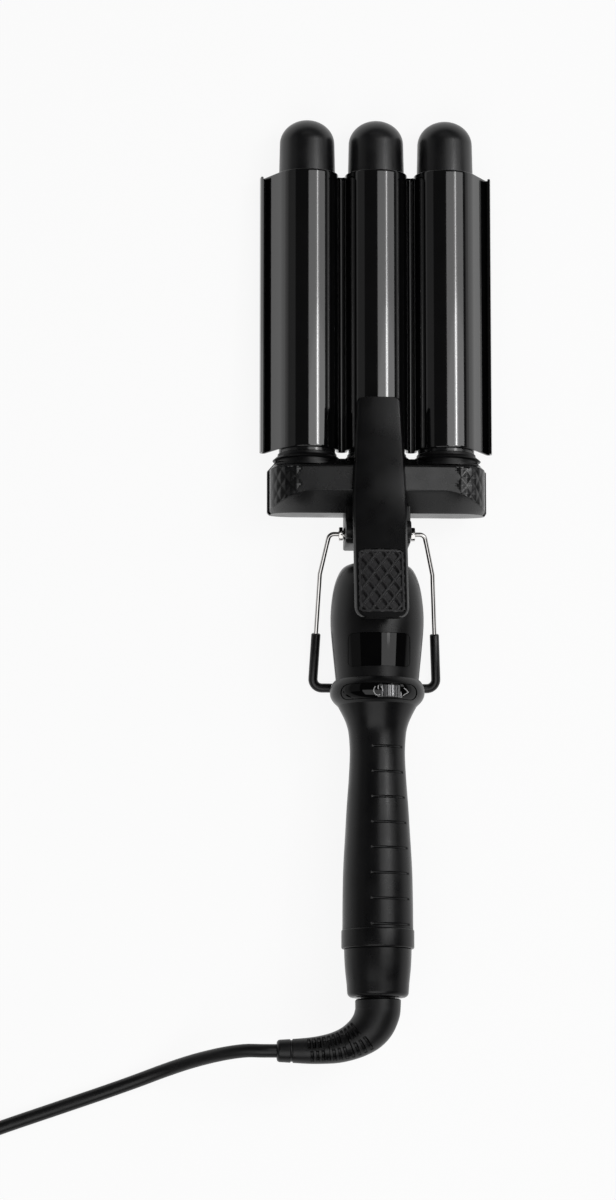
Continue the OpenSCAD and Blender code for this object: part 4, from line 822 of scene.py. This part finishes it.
def make_pad():
    across, along = 110, 160
    w, h, corner = PAD_W / 2, PAD_LEN / 2, 2.5
    lines = []
    for i in range(along + 1):
        v = -h + 2 * h * i / along
        gap = min(v + h, h - v)
        half = w
        if gap < corner:
            half = w - corner + math.sqrt(max(corner ** 2 - (corner - gap) ** 2, 0))
        line = []
        for k in range(across + 1):
            u = (-1 + 2 * k / across) * half
            edge = min(half - abs(u), gap)
            line.append(on_pad(u, v, pad_height(u, v, edge) - crown(u) + 0.15))
        lines.append(line)
    points, rows = numbered(lines)
    border = rows[0] + [r[-1] for r in rows[1:]] + rows[-1][-2::-1] + [r[0] for r in rows[-2:0:-1]]
    # Straight down from the border, square to the pad
    down = (Vector(on_pad(0, 0, 1)) - Vector(on_pad(0, 0, 0))) * 1.1
    low = [len(points) + k for k in range(len(border))]
    points += [tuple(Vector(points[b]) - down) for b in border]
    faces = grid_faces(rows, closed=False) + grid_faces([border, low]) + [low]
    ride(mesh_object("pad", (points, faces), PAD, sharp=50), "clamp", "pad_rubber", "lever_pad")


make_lever()
make_pad()


# ---- stand ----
def behind(x, along, deep=0):
    """A point of the folded stand's own plane."""
    return (x, -along * cos(STAND_FOLD) + deep * sin(STAND_FOLD),
            -along * sin(STAND_FOLD) - deep * cos(STAND_FOLD))


def make_stand():
    inner = BLOCK_W / 2 - 4
    half = [(inner, 0), (HIP_W / 2, 0), (KNEE_W / 2, KNEE), (FOOT_W / 2, STAND_LEN)]
    route = bent([(-x, y) for x, y in half] + half[::-1], [HIP_BEND] + [WIRE_BEND] * 4 + [HIP_BEND])
    wire = tube([behind(x, y) for x, y in route], WIRE_D / 2, 16)
    ride(mesh_object("wire", wire, CHROME, sharp=60), "stand", "wire_chrome", "stand_wire")
    share = SLEEVE_LEN / (STAND_LEN - KNEE)
    x = FOOT_W / 2 * (1 - share) + KNEE_W / 2 * share
    route = bent([(-x, STAND_LEN - SLEEVE_LEN), (-FOOT_W / 2, STAND_LEN), (FOOT_W / 2, STAND_LEN),
                  (x, STAND_LEN - SLEEVE_LEN)], WIRE_BEND, 10)
    start, end = Vector(route[0]), Vector(route[-1])
    path = [route[0], tuple(start.lerp(Vector(route[1]), 0.02))] + route[1:-1]
    path += [tuple(end.lerp(Vector(route[-2]), 0.02)), route[-1]]

    def swell(i, a):
        return SLEEVE_D / 2 - (0.35 if i in (0, len(path) - 1) else 0)

    sleeve = tube([behind(*p) for p in path], swell, 20)
    ride(mesh_object("sleeve", sleeve, SLEEVE, sharp=60), "stand", "soft_sleeve", "stand_sleeve")
    for s, name in SIDES[::2]:
        nut = mesh_object("stand_nut_" + name, nut_shape(s), CHROME, sharp=30)
        ride(nut, "tool", "wire_chrome", *(["stand_bushes"] if s > 0 else []))


def nut_shape(s):
    """A washer, a groove and a hexagonal nut on the pivot of side s, from the block outwards."""
    nut_from, nut_to, flat_r, count = 0.82, 2.48, 2.85, 48
    stations = [(0.05, 2.6), (0.2, 2.75), (0.45, 2.75), (0.6, 2.6), (0.65, 1.7), (0.8, 1.7), (0.85, 3),
                (1.05, 3.25), (2.2, 3.25), (2.45, 3), (2.5, 1.6), (2.65, 1.5)]
    loops = []
    for x, r in stations:
        loop = []
        for k in range(count):
            a = 360 * k / count
            reach = min(r, flat_r / cos((a + 30) % 60 - 30)) if nut_from < x < nut_to else r
            loop.append((s * (BLOCK_W / 2 + x), reach * cos(a), reach * sin(a)))
        loops.append(loop)
    return loft(loops)


make_stand()


# ---- handle ----
# Each curve: how far below its top, and how far inside (or outside, for the grip) of its named size
HEAD_CURVE = [(0, 10.5), (1.2, 6.4), (4.1, 3.8), (10.1, 1.6), (18.5, 0.3), (27, 0), (37.1, 0.8),
              (HEAD_LEN, 2.3)]
MOUTH_R = 9.1
RING_CURVE = [(0, 1.9), (1.2, 1.0), (3, 0.2), (5, 0), (7, 0.35), (9, 1.5), (RING_LEN, 3.5)]
GRIP_TOP_R = RING_D / 2 - 3.5
GRIP_CURVE = [(0, GRIP_TOP_R - WAIST_D / 2), (4.4, 2.9), (8.4, 1.3), (13, 0.4), (21, 0), (32, 0.5),
              (44.4, 1.4), (58, 2.2), (71.4, 2.95), (85, 3.25), (GRIP_LEN, 3.35)]
HEAD_LINE = [(HEAD_D / 2 - c, MOUTH - y) for y, c in HEAD_CURVE]
RING_LINE = [(RING_D / 2 - c, RING_Y - y) for y, c in RING_CURVE]
GRIP_LINE = [(WAIST_D / 2 + c, GRIP_Y - y) for y, c in GRIP_CURVE]


def pairs(points):
    return [(p[0], p[1]) for p in points]


def shell(line, steps, wall, least=0):
    """A closed outline: the outer line, then the bore back up."""
    outer = pairs(smooth(line, steps))
    inner = [(max(r - wall, least), y) for r, y in outer]
    return outer + inner[::-1]


def half_shell(name, profile, front, count=96, change=None):
    """One half of the handle's body, just short of half a turn, which replaces its CAD shell."""
    sweep = 179.3
    shape = lathe(profile, (0 if front else 180) - sweep / 2, sweep, count, change)
    return ride(mesh_object(name, shape, PLASTIC, sharp=35), "tool", "body_plastic", name + "_shell")


def make_head():
    profile = shell(HEAD_LINE, 6, WALL, MOUTH_R)
    front = half_shell("head_front", profile, True, 120)
    outline = rounded(box_outline(WINDOW_W, WINDOW_H), 2.2)
    cut(front, prism([(x, y + WINDOW_Y) for x, y in outline], 5, 30), sharp=35)
    half_shell("head_back", profile, False)
    # The window: a piece of the head's own surface, let in a little, with rounded corners
    pane = lathe(shell([(r - 0.18, y) for r, y in HEAD_LINE], 6, 1.6, 8), -60, 120, 120)
    pane = mesh_object("window", pane, WINDOW, sharp=35)
    inner = rounded(box_outline(WINDOW_W - 0.3, WINDOW_H - 0.3), 2)
    cut(pane, prism([(x, y + WINDOW_Y) for x, y in inner], 4, 31), keep=True)
    ride(pane, "tool", "window_gloss", "display_window")


def stadium(w, h, steps=14):
    return arc(((w - h) / 2, 0), h / 2, -90, 90, steps) + arc((-(w - h) / 2, 0), h / 2, 90, 270, steps)


def slot_cutter(w, length):
    """The wheel's slot through the strip, square to the wheel's own direction."""
    points, faces = prism(box_outline(w, length), 8, 30)
    c, t = cos(WHEEL_ANGLE), sin(WHEEL_ANGLE)
    return [(x * c + z * t, y + STRIP_Y, z * c - x * t) for x, y, z in points], faces


def make_ring():
    profile = shell(RING_LINE, 6, 2.4)
    ring = mesh_object("ring", lathe(profile, count=144), PLASTIC, sharp=35)
    outline = [(x, y + STRIP_Y) for x, y in stadium(STRIP_W, STRIP_H)]
    cut(ring, prism(outline, 6, 30), sharp=35)
    ride(ring, "tool", "body_plastic", "control_collar")
    # The strip: a piece of the collar's own surface, let in a little
    pane = lathe(shell([(r - STRIP_SINK, y) for r, y in RING_LINE], 6, 1.2), -75, 150, 150)
    pane = mesh_object("strip", pane, WINDOW, sharp=35)
    outline = [(x, y + STRIP_Y) for x, y in stadium(STRIP_W - 0.25, STRIP_H - 0.25)]
    cut(pane, prism(outline, 3, 31), keep=True)
    cut(pane, slot_cutter(8.4, WHEEL_LEN + 0.4), sharp=35)
    ride(pane, "tool", "window_gloss", "control_strip")


def ring_radius(y):
    return lookup(y, [(p[1], p[0]) for p in smooth(RING_LINE, 4)])


def make_prints():
    """The power sign and the arrow beside the wheel, printed on the strip."""
    line_w, raised, power_x, power_r, tip_x = 0.4, 0.04, -0.8, 2, 14.1

    def on_strip(x, y):
        r = ring_radius(STRIP_Y + y) - STRIP_SINK + raised
        a = x / (RING_D / 2) * 180 / math.pi
        return (r * sin(a), STRIP_Y + y, r * cos(a))

    def stroke(line):
        loops = []
        for i, p in enumerate(line):
            a, b = Vector(line[max(i - 1, 0)]), Vector(line[min(i + 1, len(line) - 1)])
            way = (b - a).normalized()
            off = Vector((-way.y, way.x)) * line_w / 2
            left, right = (on_strip(*(Vector(p) + side * off)) for side in (1, -1))
            loops.append([left, right] + [(x * 0.996, y, z * 0.996) for x, y, z in (right, left)])
        return loft(loops)

    circle = stroke([(power_x + power_r * cos(a), power_r * sin(a)) for a in range(125, 416, 10)])
    power = joined(circle, stroke([(power_x, 0.5), (power_x, 1.4), (power_x, 2.2)]))
    arrow = stroke([(tip_x - 2.7 * abs(k) / 6, -0.2 - 1.6 * k / 6) for k in range(-6, 7)])
    for name, shape in (("power_sign", power), ("arrow_sign", arrow)):
        ride(mesh_object(name, shape, PRINT), "tool", "window_gloss")


def make_wheel():
    # Along each rib and the gap after it: the share of the way, and the depth
    rib = ((0.06, 0.12), (0.14, 0), (0.56, 0), (0.64, 0.12), (0.72, 0.6), (0.98, 0.6))
    outline = []
    for k in range(WHEEL_RIBS):
        for part, deep in rib:
            a, r = 360 * (k + part) / WHEEL_RIBS, WHEEL_D / 2 - deep
            outline.append((r * cos(a), r * sin(a)))
    half = WHEEL_LEN / 2
    loops = []
    for y, inset in ((-half, 0.5), (-half + 0.35, 0), (half - 0.35, 0), (half, 0.5)):
        share = 1 - inset / (WHEEL_D / 2)
        loops.append([(x * share, y, z * share) for x, z in outline])
    axle = lathe([(0, -half - 1.4), (1, -half - 1.4), (1, half + 1.4), (0, half + 1.4)], count=24)
    middle = (WHEEL_R * sin(WHEEL_ANGLE), STRIP_Y, WHEEL_R * cos(WHEEL_ANGLE))
    shape = moved(joined(loft(loops), axle), middle)
    ride(mesh_object("wheel", shape, WHEEL, sharp=25), "wheel", "wheel_grey", "temperature_wheel")


def make_grip():
    outer = pairs(smooth(GRIP_LINE, 6))
    reach, half, deepest = 0.6, 0.55, 0.5
    cuts = [GRIP_Y - GROOVE_FIRST - k * GROOVE_PITCH for k in range(GROOVES)]
    table = sorted(((y, r) for r, y in outer), reverse=True)
    stations = [y for _, y in outer]
    for y in cuts:
        stations = [s for s in stations if abs(s - y) > 0.9] + [y + k * 0.15 for k in range(-5, 6)]
    stations = sorted(set(stations), reverse=True)
    lined = [(lookup(y, table), y) for y in stations]
    profile = lined + [(r - WALL, y) for r, y in outer[::-1]]
    nearest = {y: min(abs(y - c) for c in cuts) for y in stations}

    def groove(r, y, a):
        near = nearest.get(y, 9)
        if near > reach or r < lookup(y, table) - deepest:
            return r
        a = (a + 180) % 360 - 180
        ends = min(a - GROOVE_FROM, GROOVE_TO - a) / 4
        return r - deepest * math.sqrt(max(1 - (near / half) ** 2, 0)) * unit(ends)

    half_shell("grip_front", profile, True, 120, groove)
    half_shell("grip_back", shell(GRIP_LINE, 6, WALL), False)


def make_end():
    r, inside = END_RING_D / 2, CAP_D / 2 - 3
    ring = bent([(inside, CAP_Y), (r, CAP_Y), (r, END_RING_Y), (inside, END_RING_Y)], 0.8, 6)
    ride(mesh_object("end_ring_look", lathe(ring), PLASTIC, sharp=35), "tool", "body_plastic", "end_ring")
    foot, bore = CAP_FOOT_D / 2, 7.6
    cap = [(CAP_D / 2 - 2, CAP_Y), (CAP_D / 2 - 0.3, CAP_Y), (CAP_D / 2, CAP_Y - 0.3)]
    side = [(CAP_D / 2 - 0.05, CAP_Y - 3), (CAP_D / 2 - 0.4, CAP_Y - 9), (foot + 0.55, FOOT_Y + 6)]
    cap += pairs(smooth(side, 5))
    cap += [(foot - 2 + 2.3 * cos(a), FOOT_Y + 2.2 - 2.2 * sin(a)) for a in range(0, 91, 10)]
    cap += [(bore, FOOT_Y), (bore, FOOT_Y + 2), (foot - 2, FOOT_Y + 2)]
    ride(mesh_object("end_cap_look", lathe(cap), PLASTIC, sharp=35), "tool", "body_plastic", "end_cap")


def make_boot():
    steps = 24
    path = smooth([(x, BOOT_TOP + y, 0) for x, y in BOOT_LINE], steps)
    radii = boot_radii(steps)
    walked = [0]
    for a, b in zip(path, path[1:]):
        walked.append(walked[-1] + (b - a).length)
    total = walked[-1]
    end_r, collar_len, groove_half = 1.4, 6.4, 0.45
    slots_from, slot_pitch, slot_half, slot_deep, last, long_ones = 19.5, 2.3, 0.62, 1.7, 10.4, (3, 7)

    def slot_depth(s, turned):
        """Slots in two rows, above and below, half a step apart. Two of each row go further round."""
        for side in (1, -1):
            t = (s - slots_from) / slot_pitch + (0.5 if side < 0 else 0)
            near = abs(t - round(t)) * slot_pitch
            low, high, across = -50 if round(t) in long_ones else 8, 56, turned * side
            if -0.4 <= t <= last and near < slot_half and low < across < high:
                inset = min(across - low, high - across) / 4
                return slot_deep * min((slot_half - near) / 0.12, 1) * min(inset, 1)
        return 0

    def radius(i, a):
        r, s, left = radii[i], walked[i], total - walked[i]
        if s < 0.5:
            r -= 0.6 * (1 - s / 0.5)
        if left < end_r:
            r -= end_r - math.sqrt(end_r ** 2 - (end_r - left) ** 2)
        # The groove behind the end's collar
        off = abs(left - collar_len)
        if off < groove_half:
            r -= 0.5 * min((groove_half - off) / 0.15, 1)
        return r - slot_depth(s, (a + 90) % 180 - 90)

    boot = tube(path, radius, 72, side0=(0, 0, 1))
    ride(mesh_object("boot", boot, CORD, sharp=40), "cord_swivel", "cord_rubber", "strain_relief_boot")


make_head()
make_ring()
make_prints()
make_wheel()
make_grip()
make_end()
make_boot()

# ---- CAD nodes that stay, with their finish ----
KEPT = {
    COAT: ("barrel_left", "barrel_middle", "barrel_right"),
    ALUMINIUM: ("heater_left", "heater_middle", "heater_right"),
    STEEL: ("crossbar_screws", "hinge_block_screws", "lever_bracket", "lever_rivets", "hinge_pin",
            "closing_spring", "handle_screws"),
    BLOCK: ("neck_tube", "wheel_encoder", "swivel_ferrule"),
    DISPLAY: ("display_module",),
    BOARD: ("control_board",),
    WIRES: ("heater_wires", "supply_wires"),
}
for finish, nodes in KEPT.items():
    for node in nodes:
        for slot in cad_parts[node].material_slots:
            slot.material = finish


# ---- table and lights ----
def make_table():
    """A white table top, which camera, glossy and transmission rays see as nearly pure white."""
    mat = bpy.data.materials.new("table_white")
    nodes, links = with_nodes(mat)
    shader = nodes["Principled BSDF"]
    fill(shader, {"Base Color": (0.86, 0.86, 0.86, 1), "Roughness": 0.9, "Specular IOR Level": 0})
    rays = nodes.new("ShaderNodeLightPath")
    shown = rays.outputs["Is Camera Ray"]
    for kind in ("Is Glossy Ray", "Is Transmission Ray"):
        either = nodes.new("ShaderNodeMath")
        either.operation = "MAXIMUM"
        links.new(shown, either.inputs[0])
        links.new(rays.outputs[kind], either.inputs[1])
        shown = either.outputs[0]
    # The rest of the mix is the lit floor, so that it keeps the tool's shadow
    share = nodes.new("ShaderNodeMath")
    share.operation = "MULTIPLY"
    share.inputs[1].default_value = 0.9
    links.new(shown, share.inputs[0])
    glow = nodes.new("ShaderNodeEmission")
    fill(glow, {"Color": (1, 1, 1, 1)})
    both = nodes.new("ShaderNodeMixShader")
    links.new(share.outputs[0], both.inputs["Fac"])
    links.new(shader.outputs["BSDF"], both.inputs[1])
    links.new(glow.outputs["Emission"], both.inputs[2])
    links.new(both.outputs[0], nodes["Material Output"].inputs["Surface"])
    mesh = bpy.data.meshes.new("table")
    side = 12
    mesh.from_pydata([(x, y, 0) for x, y in box_outline(side, side)], [], [(0, 1, 2, 3)])
    mesh.materials.append(mat)
    table = new_object("table", mesh)
    table.location.z = -0.0002


def lamp(name, tilt, half, y_from, y_to, level, away):
    """A flat lamp over the tool that faces its long axis: tilt degrees to the right of straight up,
    half degrees wide to each side, between two places along the tool, and as bright as level."""
    across, back = Vector((cos(tilt), 0, -sin(tilt))), Vector((sin(tilt), 0, cos(tilt)))
    at = back * away + Vector((0, (y_from + y_to) / 2, 0))
    data = bpy.data.lights.new(name, "AREA")
    data.shape = "RECTANGLE"
    data.size, data.size_y = 2 * away * math.tan(math.radians(half)), y_to - y_from
    data.energy = level * math.pi * data.size * data.size_y
    new_object(name, data).matrix_world = standing(across, (0, 1, 0), back, at)


def make_world():
    """White at the horizon, where the table ends, and dark overhead."""
    world = bpy.data.worlds.new("world")
    SCENE.world = world
    nodes, links = with_nodes(world)
    where = nodes.new("ShaderNodeTexCoord")
    parts = nodes.new("ShaderNodeSeparateXYZ")
    links.new(where.outputs["Generated"], parts.inputs[0])
    ramp = nodes.new("ShaderNodeValToRGB")
    for end, height, level in ((0, 0.14, 0.6), (1, 0.26, 0.05)):
        ramp.color_ramp.elements[end].position = height
        ramp.color_ramp.elements[end].color = (level, level, level, 1)
    links.new(parts.outputs["Z"], ramp.inputs["Fac"])
    links.new(ramp.outputs["Color"], nodes["Background"].inputs["Color"])


make_table()
# A soft panel over the right of the tool, narrow over the handle and wide over the barrels, with a
# bright line down its middle, a dim one to the left, and one beyond each end of the tool
for name, tilt, half, y_from, y_to, level in (
        ("grip", 27, 19, -0.12, 0.1, 2.7), ("grip_line", 25, 3.5, -0.02, 0.1, 4),
        ("knob", 28.5, 22, 0.1, 0.25, 2.5), ("middle", 34, 32, 0.25, 0.46, 2.6),
        ("middle_glow", 35.5, 6, 0.25, 0.46, 3.8), ("middle_line", 35.5, 1.4, 0.25, 0.46, 20),
        ("far", 34, 32, 0.46, 0.66, 1.9), ("far_glow", 35.5, 6, 0.46, 0.66, 0.8),
        ("far_line", 35.5, 1.4, 0.46, 0.66, 9), ("left", -62, 15.5, -0.5, 0.85, 0.2),
        ("foot", -8, 32, -1.8, -0.35, 2), ("head", 0, 30, 1.2, 2.2, 0.3)):
    # A glow hangs just under its panel, and a line just under its glow
    away = {"glow": 1.29, "line": 1.28}.get(name.split("_")[-1], 1.3)
    lamp(name, tilt, half, y_from, y_to, level, away)
make_world()
SCENE.view_settings.view_transform = "Standard"

bpy.context.view_layer.update()
